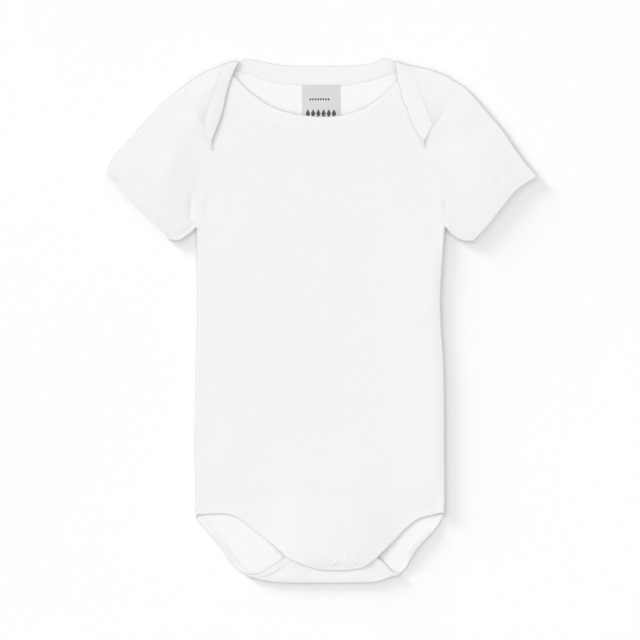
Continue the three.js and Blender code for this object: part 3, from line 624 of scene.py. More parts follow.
def bodyGrid(heightAt, borders, guides, bottoms, tops):
    # three filled strips side by side, that share their borders
    lower = sharesOf("below") * underarmShare
    upper = underarmShare + (1 - underarmShare) * sharesOf("above")[1:]
    v = np.concatenate([lower, upper])
    edges = [borders[0], *guides, borders[1]]
    strips = []
    for i, count in enumerate([steps["side"], steps["middle"], steps["side"]]):
        sheet = filled(bottoms[i], tops[i], edges[i], edges[i + 1])
        places = sheet(*np.meshgrid(shares(count), v))
        strips.append((raised(places, heightAt(places)), places))
    return strips


def sideBorder(side, lower, top):
    # up the side as far as the underarm, and then up the armhole
    up = through([lower(1.0), *side["rows"]["armhole"][:-1], top])

    def border(v):
        v = np.asarray(v, float)
        low = lower(v / underarmShare)
        high = up((v - underarmShare) / (1 - underarmShare))
        return np.where((v < underarmShare)[..., None], low, high)

    return border


def backSideLine(side):
    return through([side["backSeam"](0.0), *sideFold(side)(quarters[1:])])


def clothShoulder(side):
    fold = shoulderFold(side)
    return lambda share: fold(side["clothShare"] * np.asarray(share, float))


def climbAt(side, share):
    # the roll's lower end runs up from the back's leg seam to the front's, by (1 - share)^5
    climb = frontSeam(side, cloth["legBandWidth"])(0.0)[1] - side["backSeam"](0.0)[1]
    return climb * (1 - share) ** panelLook["climb"]


def sideSeam(side, inward):
    # the seam beside the roll, a distance in from where the roll ends
    lower = backSideLine(side)

    def line(share):
        share = np.asarray(share, float)
        places = lower(share)
        places[..., 0] -= side["sign"] * inward
        places[..., 1] += climbAt(side, share)
        return places

    return line


def backSide(side):
    # the back rolls up at the side and comes a little way over the front, to the side seam
    lower, out = backSideLine(side), side["sign"] * sideways
    u, v = grid("roll", "below")
    roll = folded(lower(v), out, cloth["backLevel"], side["level"], u)
    roll[..., 1] += climbAt(side, v) * u
    u, v = grid("strip", "below")
    places = sideSeam(side, panelLook["wrap"] * u)(v)
    strip = raised(places, side["level"] - panelLook["stripDroop"] * u**2)
    # the roll goes on a little way up, under the sleeve
    u, v = grid("roll", "rollOn")
    places = lower(1.0) + v[..., None] * upwards * panelLook["rollOn"]
    above = folded(places, out, cloth["backLevel"], side["level"], u)
    return flattened(roll, strip, above)


def shoulderFlap(side):
    # folded over the shoulder, then ruled from the armhole to the seam of the lap's band
    start, armhole = clothShoulder(side), backwards(side["armhole"])
    u, v = grid("side", "roll")
    outward = shoulderOutward(side, u * side["clothShare"])
    roll = folded(start(u), outward, cloth["backLevel"], flapLevel, v)
    u, v = grid("side", "flap")
    places = mix(armhole(v * side["flapShare"]), side["lapSeam"](v), u)
    places = np.where((v == 0)[..., None], start(u), places)
    return flattened(roll, raised(places, settledFlap(places, side, v)))


def buildBack():
    fold = through(crotchFold)
    tops = [clothShoulder(side) for side in bothSides]
    borders = [
        sideBorder(side, backSideLine(side), top(0.0)) for side, top in zip(bothSides, tops)
    ]

    def height(places):
        # flat at every border, so that the folds beside it join without a step
        inX, inY = [plateau(places[..., i], *panelLook["backBox"][i]) for i in (0, 1)]
        creases = foldHeight(backCreases, places) * inX * inY
        return cloth["backLevel"] + creases * panelLook["backCrease"]

    body = bodyGrid(
        height,
        borders,
        [straight(fold(0.0), tops[0](1.0)), straight(fold(1.0), tops[1](1.0))],
        [leftSide["backSeam"], fold, backwards(rightSide["backSeam"])],
        [tops[0], neckSeam, backwards(tops[1])],
    )
    tabEnd = straight(leftSide["tabSeam"](1.0), rightSide["tabSeam"](1.0))
    tab = filled(fold, tabEnd, leftSide["tabSeam"], rightSide["tabSeam"])
    u, v = grid("middle", "roll")
    roll = folded(fold(u), -upwards, cloth["backLevel"], cloth["tabLevel"], v)
    u, v = grid("middle", "tab")
    places = tab(u, v)
    creased = tabHeight(places) + foldHeight(tabCreases, places)
    settle = smooth(v, 0, panelLook["tabSettle"])
    folds = flattened(roll, raised(places, between(cloth["tabLevel"], creased, settle)))
    for side in bothSides:
        folds += backSide(side) + shoulderFlap(side)
    # only the back's own middle shows its inner face
    fade = [np.ones(points.shape[:2]) for points, flat in body]
    fade += [np.zeros(points.shape[:2]) for points, flat in folds]
    piece = pieceFrom("cloth_back", body + folds, ["back_panel"], fade=fade)
    addWall(piece, cloth["wall"])
    return piece


def buildFront():
    hem = through(flapHem)
    seams = [frontSeam(side, cloth["legBandWidth"] - cloth["tuck"]) for side in bothSides]
    bandSeam = beside(through(frontNeckEdge), -(cloth["neckBandWidth"] - cloth["tuck"]))
    lift = seams[0](1.0)[1] - flapHem[0][1]
    aboveHem = cornered(shifted(hem, lift * upwards), seams[0](1.0), seams[1](1.0))
    borders, tops = [], []
    for side, seam, end in zip(bothSides, seams, (bandSeam(0.0), bandSeam(1.0))):
        top = through([*side["rows"]["frontShoulder"], end])
        # the front runs a little way under the roll's edge
        line = sideSeam(side, panelLook["under"])
        start = line(0.0) * sideways + seam(0.0) * upwards
        lower = through([start, *line(panelLook["sideShares"])])
        borders.append(sideBorder(side, lower, top(0.0)))
        tops.append(top)
    legs = [cornered(seam, border(0.0), seam(1.0)) for seam, border in zip(seams, borders)]
    sideSeams = [sideSeam(side, panelLook["wrap"])(seamShares) for side in bothSides]

    def height(places):
        look = frontLook(places)
        for side, line in zip(bothSides, sideSeams):
            depth = side["sideGroove"] * smooth(-places[..., 1], *panelLook["sideSeam"])
            look = look + ditch(distanceTo(places, line), depth, panelLook["sideSeamWidth"])
        return look

    body = bodyGrid(
        height,
        borders,
        [straight(seams[0](1.0), bandSeam(0.0)), straight(seams[1](1.0), bandSeam(1.0))],
        [legs[0], aboveHem, backwards(legs[1])],
        [tops[0], bandSeam, backwards(tops[1])],
    )
    along = sharesOf("middle")
    places = mix(hem(along), aboveHem(along), sharesOf("flapEnd")[:, None])
    flapEnd = raised(places, height(places))
    piece = pieceFrom("cloth_front", body + [(flapEnd, places)], ["front_panel"])
    addWall(piece, cloth["wall"])
    return piece


# bindings; shares are of the length, apart from "level", which is of the width
bindingLook = {
    "tip": 0.74,  # where the lap's seam turns to its tip
    "drop": 0.15,  # of the leg band's edge on the front
    "dropEnd": (0.72, 1),
    "level": 0.6,  # where the band reaches its own level
    "curl": (0, 0.35, 0.65, 1),
    "droop": (0.05, 0.3, 0.35, 0.6),
    "end": 1.2,  # how far the band's end runs on inside the flap's cloth
}


def bandRows(count, seam, edge):
    u, share = np.meshgrid(acrossBand, shares(count))
    return mix(seam(share), edge(share), u), u


def buildFrontNeckband():
    edge = through(frontNeckEdge)
    places, u = bandRows(steps["frontNeck"], beside(edge, -cloth["neckBandWidth"]), edge)
    points = raised(places, frontLook(places))
    return bandPiece("binding_front_neck", points, ["front_neckband"], 0 * u)


def buildBackNeckband():
    tip = bindingLook["tip"]

    def lap(side):
        def inner(share):
            first, second = side["lapSeam"](share / tip), side["lapTip"]((share - tip) / (1 - tip))
            return np.where((share < tip)[..., None], first, second)

        places, u = bandRows(steps["lap"], inner, side["lapEdge"])
        return raised(places, settledFlap(places, side, sharesOf("lap")[:, None] / tip))

    def over(side):
        u, v = np.meshgrid(acrossBand, sharesOf("roll")[1:-1])
        share = between(side["clothShare"], 1, u)
        line, outward = shoulderFold(side)(share), shoulderOutward(side, share)
        return folded(line, outward, cloth["bandLevel"], flapLevel, v)

    places, u = bandRows(steps["backNeck"], neckSeam, neckEdge)
    neck = raised(places, cloth["bandLevel"])
    rows = np.concatenate([
        lap(leftSide)[::-1], over(leftSide)[::-1], neck, over(rightSide), lap(rightSide),
    ])
    return bandPiece("binding_back_neck", rows, ["back_neckband"], np.zeros(rows.shape[:2]))


def buildLegBand(side):
    # up the front's leg edge, round the side, down the back's, over the crotch and up the tab
    width, look, sign = cloth["legBandWidth"], bindingLook, side["sign"]
    frontLine, turns = frontSeam(side, width), sharesOf("roll")
    places, u = bandRows(steps["legFront"], frontLine, side["frontLeg"])
    settle = 1 - smooth(sharesOf("legFront"), *look["dropEnd"])[:, None]
    front = raised(places, frontLook(places) - look["drop"] * u**2 * settle)

    def backHeight(u):
        # level with the back's cloth at the seam, then up to the band's own level
        return between(cloth["backLevel"], cloth["bandLevel"], smooth(u, 0, look["level"]))

    reach = (side["level"] - cloth["bandLevel"]) / 2 + cloth["solidBandWall"] / 2
    outline = side["side"](0.0)[0] - sign * reach
    u, v = np.meshgrid(acrossBand, turns)
    low = mix(side["backSeam"](0.0), side["backLeg"](0.0), u)
    high = mix(frontLine(0.0), side["frontLeg"](0.0), u)
    line = np.stack([np.full(u.shape, outline), between(low[..., 1], high[..., 1], v)], -1)
    around = folded(line, sign * sideways, backHeight(u), front[0, :, 2] + 0 * u, v)
    places, u = bandRows(steps["legBack"], side["backSeam"], side["backLeg"])
    share = sharesOf("legBack")[:, None]
    curl = side["curl"] * u**2 * plateau(share, *look["curl"])
    back = raised(places, backHeight(u) + curl)[1:]
    u, v = np.meshgrid(acrossBand, turns[1:-1])
    foldLine = mix(side["backSeam"](1.0), side["backLeg"](1.0), u)
    over = folded(foldLine, -upwards, backHeight(u), cloth["tabLevel"], v)
    places, u = bandRows(steps["tabBand"], side["tabSeam"], side["tabEdge"])
    share = sharesOf("tabBand")[:, None]
    droop = side["tabDroop"] * u**2 * plateau(share, *look["droop"])
    tab = raised(places, tabHeight(places) - droop)
    travel = unit((front[-1] - front[-2]) * [1, 1, 0])
    end = front[-1] + travel * look["end"] - [0, 0, cloth["tuckDrop"]]
    rows = [end[None], front[::-1], around[::-1], back, over, tab]
    # how far each row of points is the inner face of the cloth
    inner = [[0, 0], [0, 0], [0, 1], [1, 1], [1, 0], [0, 0]]
    inside = [np.linspace(*ends, len(points)) for ends, points in zip(inner, rows)]
    inside = np.concatenate(inside)[:, None] * side["insideShare"] + 0 * acrossBand
    name = side["name"]
    return bandPiece(f"binding_leg_{name}", np.concatenate(rows), [f"leg_band_{name}"], inside)


# the sleeves; pairs are distances or shares between which something starts and is full
sleeveLook = {
    "edgeHeight": 3.1,
    "hem": (13.0, 14.0),
    "hemWall": 1.15,
    "tuck": 2.6,
    "starts": ([0, 1.5], [0, -0.6]),  # shifts of the outer and the under edge's first points
    "fall": (0, 0.4),
    "puff": (0.8, 0.3),  # the wave's length in half turns, and its start in radians
    "overFlap": (128, 146),
    "creases": (2.6, 5.6),
    "creaseGain": 2.5,
    "hiddenEdge": (1.6, 3.1),
    "overlap": (3.1, 4.6),
    "seamWidth": 1.2,
    "stitches": (11.6, 13.6),  # from the hem
}


def buildSleeve(side):
    # a flattened tube: along the upper layer, round the underarm, back along the lower
    # layer, and round the top
    sign, name, look = side["sign"], side["name"], sleeveLook
    edgeHeight = look["edgeHeight"]
    reach = (edgeHeight - cloth["backLevel"]) / 2 + cloth["solidWall"] / 2
    inward = -sign * look["tuck"] * sideways
    edges = []
    for key, start in zip(("sleeveOuter", "sleeveUnder"), look["starts"]):
        edges.append(through([side[key](0.0) + inward + start, *side[key](tenths)]))
    outer, under = beside(edges[0], -sign * reach), beside(edges[1], sign * reach)
    inner = side["rows"]["armhole"][::-1][1:] + inward
    armhole = through([outer(0.0), *inner[:-1], under(0.0)])
    hem = through([outer(1.0), *side["sleeveHem"](quarters[1:-1]), under(1.0)])
    f, s = grid("sleeve", "sleeve")
    places = filled(armhole, hem, outer, under)(f, s)
    # the edges fall from the body's levels to their own, and between them the sleeve swells
    fall = smooth(s, *look["fall"])
    edge = between(between(flapLevel, edgeHeight, fall), between(side["level"], edgeHeight, fall), f)
    puff = side["puff"] * np.sin(np.pi * s * look["puff"][0] + look["puff"][1])
    bulge = np.sin(np.pi * f)
    height = edge + (puff + foldHeight(sleeveFolds[name], places)) * bulge
    # beside the armhole the sleeve comes to the level of the body's cloth, and its edge
    # runs under it
    overFlap = smooth(places[..., 1], *look["overFlap"])
    body = between(frontHeight(places), flapLook(places, side), overFlap)
    away = distanceTo(places, inner)
    height = between(height, body, 1 - smooth(away, look["tuck"], side["settle"]))
    small = foldHeight(sleeveCreases[name], places) * smooth(away, *look["creases"])
    height = height + small * np.minimum(bulge * look["creaseGain"], 1)
    height = height - cloth["tuckDrop"] * (1 - smooth(away, *look["hiddenEdge"]))
    # the underarm seam lies a little way up on the upper layer
    seam = beside(side["sleeveUnder"], sign * side["underSeam"])(shortShares)
    height = height + ditch(distanceTo(places, seam), side["underDepth"], look["seamWidth"])
    upper = raised(places, height)
    # inside the back's own wall where the two layers overlap
    overlap = 1 - smooth(distanceTo(places, armhole(shortShares)), *look["overlap"])
    lower = raised(places, cloth["backLevel"] + cloth["tuckDrop"] * overlap)[:, ::-1]

    def rounded(line, v, way, top):
        share, turn = np.meshgrid(sharesOf("sleeve"), v, indexing="ij")
        out = way * leftOf(line, share)
        return folded(line(share), out, cloth["backLevel"], top[:, None], turn)

    turns = sharesOf("roll")[1:-1]
    underRoll = rounded(under, 1 - turns, -sign, upper[:, -1, 2])
    outerRoll = rounded(outer, turns, sign, upper[:, 0, 2])
    ring = np.concatenate([upper, underRoll, lower, outerRoll, upper[:, :1]], axis=1)
    piece = pieceFrom(f"cloth_sleeve_{name}", flattened(ring), [f"sleeve_{name}"])
    # the turned hem is double cloth
    shell = addWall(piece, look["hemWall"])
    where = np.empty(len(piece.data.vertices) * 3)
    piece.data.vertices.foreach_get("co", where)
    where = where.reshape(-1, 3)[:, :2] / mm
    double = 1 - smooth(distanceTo(where, side["sleeveHem"](shortShares)), *look["hem"])
    weights = between(cloth["wall"], look["hemWall"], double) / look["hemWall"]
    group = piece.vertex_groups.new(name="double cloth")
    for weight in np.unique(weights):
        group.add(np.flatnonzero(weights == weight).tolist(), float(weight), "REPLACE")
    shell.vertex_group = group.name
    return piece, ring


# the neck label, snaps and threads
labelLook = {
    "left": -15.0, "right": 12.7, "top": 172.4, "bottom": 138.0, "wall": 0.4, "level": 1.35,
    "bow": 0.35, "wave": 0.12, "waveUp": 9, "waveAcross": 3,
}


def buildLabel():
    # a flat ribbon with a shallow bow: level + bow sin(pi u) (1 - v) + wave sin(9 v + 3 u)
    look = labelLook
    u, v = grid("label", "labelUp")
    x, y = between(look["left"], look["right"], u), between(look["bottom"], look["top"], v)
    bow = look["bow"] * np.sin(np.pi * u) * (1 - v)
    wave = look["wave"] * np.sin(look["waveUp"] * v + look["waveAcross"] * u)
    points = np.stack([x, y, look["level"] + bow + wave], -1)
    piece = pieceFrom("label_ribbon", [(points, points[..., :2])], ["neck_label"])
    addWall(piece, look["wall"])
    return piece


snapLook = {"radius": 4.75, "inner": 3.3, "height": 0.56, "corner": 0.27, "sink": 0.5, "slope": 2.0}


def roundedProfile(inner, outer, height, corner):
    # a ring's section with a quarter round at each corner: centre + corner (cos a, sin a)
    centres = np.array([
        [outer - corner, height - corner], [inner + corner, height - corner],
        [inner + corner, corner], [outer - corner, corner],
    ])
    angle = np.linspace(0, np.pi / 2, steps["corner"] + 1) + np.arange(4)[:, None] * np.pi / 2
    rows = centres[:, None] + corner * np.stack([np.cos(angle), np.sin(angle)], -1)
    return np.concatenate([rows.reshape(-1, 2), rows[0, :1]])


def buildSnaps():
    # each (r, h) of the section goes round to (r cos a, r sin a, h), and leans with the cloth
    look = snapLook
    section = roundedProfile(look["inner"], look["radius"], look["height"], look["corner"])
    radius, rise = section.T
    angle = np.linspace(0, 2 * np.pi, steps["ring"] + 1)[:, None]
    ring = np.stack([radius * np.cos(angle), radius * np.sin(angle), rise + 0 * angle], -1)
    reach = look["slope"] * np.array([sideways, upwards])
    rings = []
    for number, place in enumerate(snapPlaces, 1):
        slope = (frontHeight(place + reach) - frontHeight(place - reach)) / (2 * look["slope"])
        base = frontHeight(place[None])[0] + cloth["wall"] / 2 - look["sink"]
        points = ring + [*place, base]
        points[..., 2] += ring[..., :2] @ slope
        sheets, replaced = [(points, points[..., :2])], [f"snap_{number}_ring"]
        rings.append(pieceFrom(f"snap_{number}_cap", sheets, replaced))
    return rings


threadLook = {
    "radius": 0.1, "length": 2.0, "spacing": 2.7, "arch": 0.1, "sink": 0.08, "round": 6,
    "steps": 6, "sides": 6, "hemGap": 0.1, "neckShare": 0.11, "legShare": 0.19,
}


def stitchRow(line, ups):
    # spindles at even distances along a line, each with its middle arched a little away
    # from the cloth; the line and the upward directions are arrays of points
    look = threadLook
    run = runOf(line)
    middles = np.arange(look["spacing"], run[-1] - look["spacing"] / 2, look["spacing"])
    t = np.linspace(-1, 1, look["steps"] + 1)
    at = middles[:, None] + t * look["length"] / 2

    def alongLine(values):
        return np.stack([np.interp(at, run, values[:, axis]) for axis in range(3)], -1)

    centre, up = alongLine(line), unit(alongLine(ups))
    aside = np.cross(up, unit(np.gradient(centre, axis=1)))
    centre = centre + up * (look["arch"] * (1 - t**2) - look["sink"])[None, :, None]
    radius = look["radius"] * np.sqrt(np.clip(1 - t ** look["round"], 0, 1))
    angle = np.linspace(0, 2 * np.pi, look["sides"] + 1)[:, None]
    around = aside[:, :, None] * np.cos(angle) + up[:, :, None] * np.sin(angle)
    return list(centre[:, :, None] + around * radius[:, None, None])


def buildThreads(name, rows):
    return pieceFrom(name, flattened(*rows), [], weld=0.01)


def onBand(top, under, share):
    # a line of points on a band's upper face, with the directions away from the lower one
    column = int(np.abs(acrossBand - share).argmin())
    middle = len(top) // 2
    if top[middle, column, 2] < under[middle, column, 2]:
        top, under = under, top
    return top[:, column], unit(top[:, column] - under[:, column])


def hemStitches(ring, inward):
    # a row round the sleeve, at a distance from its hem, on the outer face
    hemward = np.linalg.norm(np.diff(ring, axis=0), axis=-1).mean(axis=1)
    fromHem = np.concatenate([hemward[::-1].cumsum()[::-1], [0]])
    row = int(np.abs(fromHem - inward).argmin())
    line, ups = ring[row], gridNormals(ring)[row]
    ups = ups * np.sign(((line - line.mean(axis=0)) * ups).sum(axis=-1).mean())
    return stitchRow(line + ups * (cloth["wall"] / 2 + threadLook["hemGap"]), ups)


# materials
class Wire:
    # one shader socket; arithmetic on it adds Math nodes
    def __init__(self, paint, socket):
        self.paint, self.socket = paint, socket

    def __add__(self, other):
        return self.paint.sum("ADD", self, other)

    def __mul__(self, other):
        return self.paint.sum("MULTIPLY", self, other)

    def __sub__(self, other):
        return self.paint.sum("SUBTRACT", self, other)

    def __rsub__(self, other):
        return self.paint.sum("SUBTRACT", other, self)

    def __truediv__(self, other):
        return self.paint.sum("DIVIDE", self, other)

    __radd__, __rmul__ = __add__, __mul__


class Paint:
    # a material or a world, and the nodes that are added to its shader
    def __init__(self, owner, shader="Principled BSDF"):
        owner.use_nodes = True
        self.owner, self.tree = owner, owner.node_tree
        self.shader = self.tree.nodes[shader]

    def put(self, socket, value):
        if isinstance(value, Wire):
            self.tree.links.new(value.socket, socket)
        else:
            socket.default_value = value

    def node(self, kind, settings, values, output=0):
        added = self.tree.nodes.new(kind)
        for key, value in settings.items():
            setattr(added, key, value)
        for key, value in values.items():
            self.put(added.inputs[key], value)
        return Wire(self, added.outputs[output])

    def sum(self, operation, *values):
        return self.node("ShaderNodeMath", {"operation": operation}, dict(enumerate(values)))

    def finish(self, values):
        for key, value in values.items():
            self.put(self.shader.inputs[key], value)
        return self.owner


def newPaint(name):
    return Paint(bpy.data.materials.new(name))


def objectPlace(paint):
    return paint.node("ShaderNodeTexCoord", {}, {}, output="Object")


def parted(paint, vector):
    # the x and y of a vector
    return [paint.node("ShaderNodeSeparateXYZ", {}, {0: vector}, output=axis) for axis in (0, 1)]


def clothPlace(paint):
    # x and y on the flat cloth, in metres
    return parted(paint, paint.node("ShaderNodeUVMap", {"uv_map": "cloth"}, {}))


def noise(paint, vector, scale, detail=2.0):
    values = {"Vector": vector, "Scale": scale, "Detail": detail}
    return paint.node("ShaderNodeTexNoise", {}, values)


def blend(paint, share, first, second):
    settings = {"data_type": "RGBA"}
    return paint.node("ShaderNodeMix", settings, {0: share, 6: first, 7: second}, output=2)


def bumped(paint, height):
    return paint.node("ShaderNodeBump", {}, {"Distance": 1.0, "Height": height})


def waves(paint, run, pitch):
    # ridges from 0 to 1, at a pitch in metres: (1 + sin(2 pi run / pitch)) / 2
    return paint.sum("SINE", run * (2 * math.pi / pitch)) * 0.5 + 0.5


def edgeShadeShare(paint, low, high):
    # how much painted shade the cloth gets: 0 where it is less steep than low, and 1 where it is steeper
    # than high
    steep = paint.node("ShaderNodeAttribute", {"attribute_name": "steep"}, {}, output="Fac")
    settings = {"interpolation_type": "SMOOTHSTEP"}
    values = {"Value": steep, "From Min": low, "From Max": high}
    return paint.node("ShaderNodeMapRange", settings, values)


def grey(level, blue=None):
    return (level, level, level if blue is None else blue, 1)


# lengths and heights in metres; "steep" is where the painted shade on steeply turned cloth starts and is
# full
knitLook = {
    "wale": 0.00095, "course": 0.0007, "lean": 1.3, "round": 0.7, "loop": 0.00008,
    "wrinkle": 0.00022, "rumpleScale": 42.0, "rippleScale": 130.0, "rumpleShare": 0.7,
    "fuzz": 0.00002, "fuzzScale": 5200.0, "rib": 0.12,
    # the darker end of the knit's colour is a painted shade in its hollows
    "light": grey(0.92, 0.918), "hollowShadeAndTone": grey(0.86), "shades": (0.55, 0.2, 0.25),
    "inside": grey(0.935, 0.933), "turned": grey(0.74), "steep": (0.02, 0.3),
    "roughness": 0.96, "sheen": 0.1, "specular": 0.15,
}
bindingKnit = knitLook | {
    "wale": 0.0011, "course": 0.0008, "wrinkle": 0.00015, "turned": grey(0.72),
    "steep": (0.005, 0.14),
}
threadShade = {
    "pitch": 0.00032, "dark": grey(0.84, 0.838), "light": grey(0.92, 0.918), "bump": 0.00003,
    "roughness": 0.7, "polish": 0.1, "sheen": 0.1,
}
labelShade = {
    "rib": 0.00042, "warp": 0.0003, "ribBump": 0.00004, "warpBump": 0.00002, "ribShare": 0.6,
    "dark": grey(0.62, 0.625), "light": grey(0.76, 0.765), "mark": grey(0.07, 0.075),
    "markBump": 0.00005, "slender": 0.9, "roughness": 0.5, "polish": 0.12, "sheen": 0.15, "anisotropic": 0.3,
}
# rows of lozenges on the label in millimetres: left, right, bottom, top, pitch and fill
labelRows = [(-9.9, 5.3, 160.5, 162.9, 1.9, 0.42), (-12.6, 10.2, 148, 154.6, 3.8, 0.44)]
snapShade = {
    "scale": 700.0, "dark": grey(0.84, 0.837), "light": grey(0.9, 0.897), "bump": 0.00004,
    "roughness": 0.34, "cloud": 0.12, "coat": 0.2,
}
floorShade = {"scale": 3.0, "dark": grey(0.905), "light": grey(0.925), "roughness": 0.95}


def knitHeight(paint, x, y, look):
    # rows of V stitches: each wale has two legs, and each leg leans outwards as it climbs
    side = paint.sum("ABSOLUTE", paint.sum("FRACT", x / look["wale"]) - 0.5)
    leg = 1 - paint.sum("ABSOLUTE", side * 4 - 1)
    up = paint.sum("FRACT", y / look["course"] + side * look["lean"])
    loop = paint.sum("SINE", up * math.pi)
    return paint.sum("SQRT", leg) * (loop * look["round"] + (1 - look["round"]))


def clothMaterial(name, look, inside=False, ribbed=False):
    # knit, with rumples, ripples and fuzz; a painted shade darkens it where the cloth turns down steeply and
    # in the knit's hollows
    paint = newPaint(name)
    x, y = clothPlace(paint)
    place = objectPlace(paint)
    knit = knitHeight(paint, x, y, look)
    if ribbed:
        rib = paint.sum("SINE", x * (math.pi / look["wale"]))
        knit = knit * (rib * look["rib"] + (1 - look["rib"]))
    rumple = noise(paint, place, look["rumpleScale"])
    ripple = noise(paint, place, look["rippleScale"])
    fuzz = noise(paint, place, look["fuzzScale"])
    uneven = rumple * look["rumpleShare"] + ripple * (1 - look["rumpleShare"])
    height = knit * look["loop"] + uneven * look["wrinkle"] + fuzz * look["fuzz"]
    knitShade, rippleShade, fuzzShade = look["shades"]
    shade = knit * knitShade + ripple * rippleShade + fuzz * fuzzShade
    # painted shade in the knit's hollows, with a tone that varies at random by the ripples and fuzz
    colour = blend(paint, shade, look["hollowShadeAndTone"], look["light"])
    if inside:
        mask = paint.node("ShaderNodeAttribute", {"attribute_name": "inside"}, {}, output="Fac")
        colour = blend(paint, mask, colour, blend(paint, shade, look["light"], look["inside"]))
    # painted shade: the colour darkens where the cloth turns down steeply, at folds and edges
    colour = blend(paint, edgeShadeShare(paint, *look["steep"]), colour, look["turned"])
    return paint.finish({
        "Base Color": colour, "Roughness": look["roughness"] - knit * look["sheen"],
        "Normal": bumped(paint, height), "Specular IOR Level": look["specular"],
    })


def threadMaterial(look):
    # twisted yarn: fine slanting bands round each stitch, darker in their grooves as a painted shade
    paint = newPaint("sewing thread")
    x, y = clothPlace(paint)
    twist = waves(paint, x + y, look["pitch"])
    return paint.finish({
        "Base Color": blend(paint, twist, look["dark"], look["light"]),
        "Roughness": look["roughness"] - twist * look["polish"],
        "Normal": bumped(paint, twist * look["bump"]), "Sheen Weight": look["sheen"],
    })


def labelMaterial(look):
    # satin ribbon with fine crosswise ribs, woven dots in one row and woven lozenges in the next
    paint = newPaint("woven label")
    x, y = parted(paint, objectPlace(paint))
    rib, warp = waves(paint, y, look["rib"]), waves(paint, x, look["warp"])

    def row(left, right, bottom, top, pitch, fill):
        # a row of lozenges: |across| + slender |up| below the fill, inside the row's box
        across = paint.sum("ABSOLUTE", paint.sum("FRACT", (x - left * mm) / (pitch * mm)) - 0.5)
        up = paint.sum("ABSOLUTE", (y - (bottom + top) / 2 * mm) / ((top - bottom) * mm))
        shape = paint.sum("LESS_THAN", across + up * look["slender"], fill)
        inRow = paint.sum("GREATER_THAN", x, left * mm) * paint.sum("LESS_THAN", x, right * mm)
        return shape * inRow * paint.sum("LESS_THAN", up, 0.5)

    marks = paint.sum("MAXIMUM", *[row(*numbers) for numbers in labelRows])
    satin = rib * look["ribShare"] + warp * (1 - look["ribShare"])
    ground = blend(paint, satin, look["dark"], look["light"])
    height = rib * look["ribBump"] + warp * look["warpBump"] + marks * look["markBump"]
    return paint.finish({
        "Base Color": blend(paint, marks, ground, look["mark"]),
        "Roughness": look["roughness"] - rib * look["polish"],
        "Normal": bumped(paint, height), "Sheen Weight": look["sheen"],
        "Anisotropic": look["anisotropic"],
    })


def snapMaterial(look):
    # enamel over pressed metal, with the slight unevenness of a dipped coat
    paint = newPaint("enamelled snap")
    cloud = noise(paint, objectPlace(paint), look["scale"], 3.0)
    return paint.finish({
        "Base Color": blend(paint, cloud, look["dark"], look["light"]),
        "Roughness": look["roughness"] + cloud * look["cloud"],
        "Normal": bumped(paint, cloud * look["bump"]), "Coat Weight": look["coat"],
    })


def floorMaterial(look):
    paint = newPaint("pale floor")
    cloud = noise(paint, objectPlace(paint), look["scale"])
    return paint.finish({
        "Base Color": blend(paint, cloud, look["dark"], look["light"]),
        "Roughness": look["roughness"], "Specular IOR Level": 0.0,
    })


def dress(pieces, material):
    for piece in pieces:
        piece.data.materials.clear()
        piece.data.materials.append(material)


print("panels")
back = buildBack()
front = buildFront()

print("bindings")
frontNeck, *frontFaces = buildFrontNeckband()
backNeck, *backFaces = buildBackNeckband()
legs = {side["name"]: buildLegBand(side) for side in bothSides}

print("sleeves")
sleeves = {side["name"]: buildSleeve(side) for side in bothSides}

print("label and snaps")
label = buildLabel()
rings = buildSnaps()

print("threads")
neckShare, legShare = threadLook["neckShare"], threadLook["legShare"]
threads = [
    buildThreads("thread_front_neck", stitchRow(*onBand(*frontFaces, neckShare))),
    buildThreads("thread_back_neck", stitchRow(*onBand(*backFaces, neckShare))),
]
for name, (leg, *faces) in legs.items():
    threads.append(buildThreads(f"thread_leg_{name}", stitchRow(*onBand(*faces, legShare))))
    ring = sleeves[name][1]
    rows = [stitch for inward in sleeveLook["stitches"] for stitch in hemStitches(ring, inward)]
    threads.append(buildThreads(f"thread_sleeve_{name}", rows))

print("materials")
enamel = snapMaterial(snapShade)
plain = [front, *(sleeve for sleeve, ring in sleeves.values())]
dress(plain, clothMaterial("cotton jersey", knitLook))
dress([back], clothMaterial("cotton jersey with its inner face", knitLook, inside=True))
binding = clothMaterial("ribbed binding", bindingKnit, inside=True, ribbed=True)
dress([frontNeck, backNeck, *(leg for leg, *faces in legs.values())], binding)
dress(threads, threadMaterial(threadShade))
dress([label], labelMaterial(labelShade))
dress(rings, enamel)
# the snaps' other pieces are the solids
for name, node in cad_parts.items():
    if name.startswith("snap_"):
        for slot in node.material_slots:
            slot.material = enamel

print("stage")
stage = {
    "floorSize": 3.0, "floorCells": 8, "floorDrop": 0.0003, "ceiling": 0.98, "room": 0.5,
    "ceilingFrom": 0.3, "ceilingTo": 0.7, "camera": (-0.0019, 0.0007, 2.0),
    "frameWidth": 0.4672, "clipEnd": 20,
}
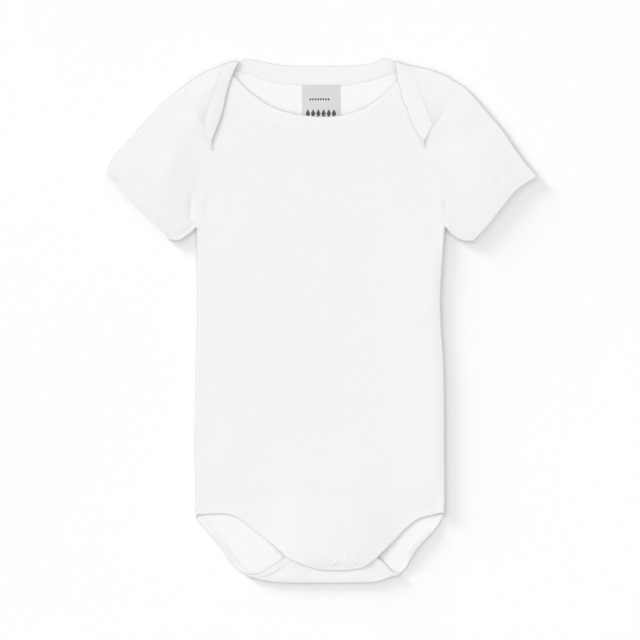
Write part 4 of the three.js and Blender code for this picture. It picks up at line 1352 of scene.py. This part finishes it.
# each window's height, direction and spread in degrees, the light that it gives to a level
# surface, and what it lights: the floor and the garment are lit apart, as in a studio
suns = {
    "low": (11.5, 139.0, 18.0, 0.18, "floor"),
    "high": (38.0, 150.0, 40.0, 0.05, "all"),
    "side": (34.0, 150.0, 24.0, 0.14, "garment"),
}
across = (shares(stage["floorCells"]) - 0.5) * stage["floorSize"]
floorX, floorY = np.meshgrid(across, across)
floorGrid = np.stack([floorX, floorY, np.full(floorX.shape, -stage["floorDrop"])], -1)
floorMesh = bpy.data.meshes.new("floor")
floorFaces = gridFaces(*floorX.shape)
floorMesh.from_pydata(floorGrid.reshape(-1, 3).tolist(), [], floorFaces.tolist())
floorMesh.materials.append(floorMaterial(floorShade))
floor = bpy.data.objects.new("floor", floorMesh)
bpy.context.scene.collection.objects.link(floor)

sky = Paint(bpy.data.worlds.new("studio"), "Background")
skyward = sky.node("ShaderNodeTexCoord", {}, {}, output="Generated")
height = sky.node("ShaderNodeSeparateXYZ", {}, {0: skyward}, output="Z")
ceiling = sky.node("ShaderNodeMapRange", {"interpolation_type": "SMOOTHSTEP"}, {
    "Value": height, "From Min": stage["ceilingFrom"], "From Max": stage["ceilingTo"],
    "To Min": stage["room"], "To Max": stage["ceiling"],
})
bpy.context.scene.world = sky.finish({"Color": (1, 1, 1, 1), "Strength": ceiling})

garment = [thing for thing in bpy.data.objects if thing.type == "MESH" and thing != floor]
receivers = {"floor": [floor], "garment": garment}
for name, (rise, turn, spread, light, lit) in suns.items():
    sun = bpy.data.lights.new(f"window {name}", "SUN")
    rise, turn = math.radians(rise), math.radians(turn)
    sun.energy = math.pi * light / math.sin(rise)
    sun.angle = math.radians(spread)
    window = bpy.data.objects.new(f"window {name}", sun)
    run = math.cos(rise)
    towards = Vector((run * math.cos(turn), run * math.sin(turn), math.sin(rise)))
    window.rotation_euler = towards.to_track_quat("Z", "Y").to_euler()
    bpy.context.scene.collection.objects.link(window)
    if lit in receivers:
        group = bpy.data.collections.new(f"lit by the {name} window")
        for thing in receivers[lit]:
            group.objects.link(thing)
        window.light_linking.receiver_collection = group

lens = bpy.data.cameras.new("camera")
lens.lens = lens.sensor_width * stage["camera"][2] / stage["frameWidth"]
lens.clip_end = stage["clipEnd"]
camera = bpy.data.objects.new("camera", lens)
camera.location = stage["camera"]
bpy.context.scene.collection.objects.link(camera)
bpy.context.scene.camera = camera
bpy.context.scene.view_settings.view_transform = "Standard"

print("finish")
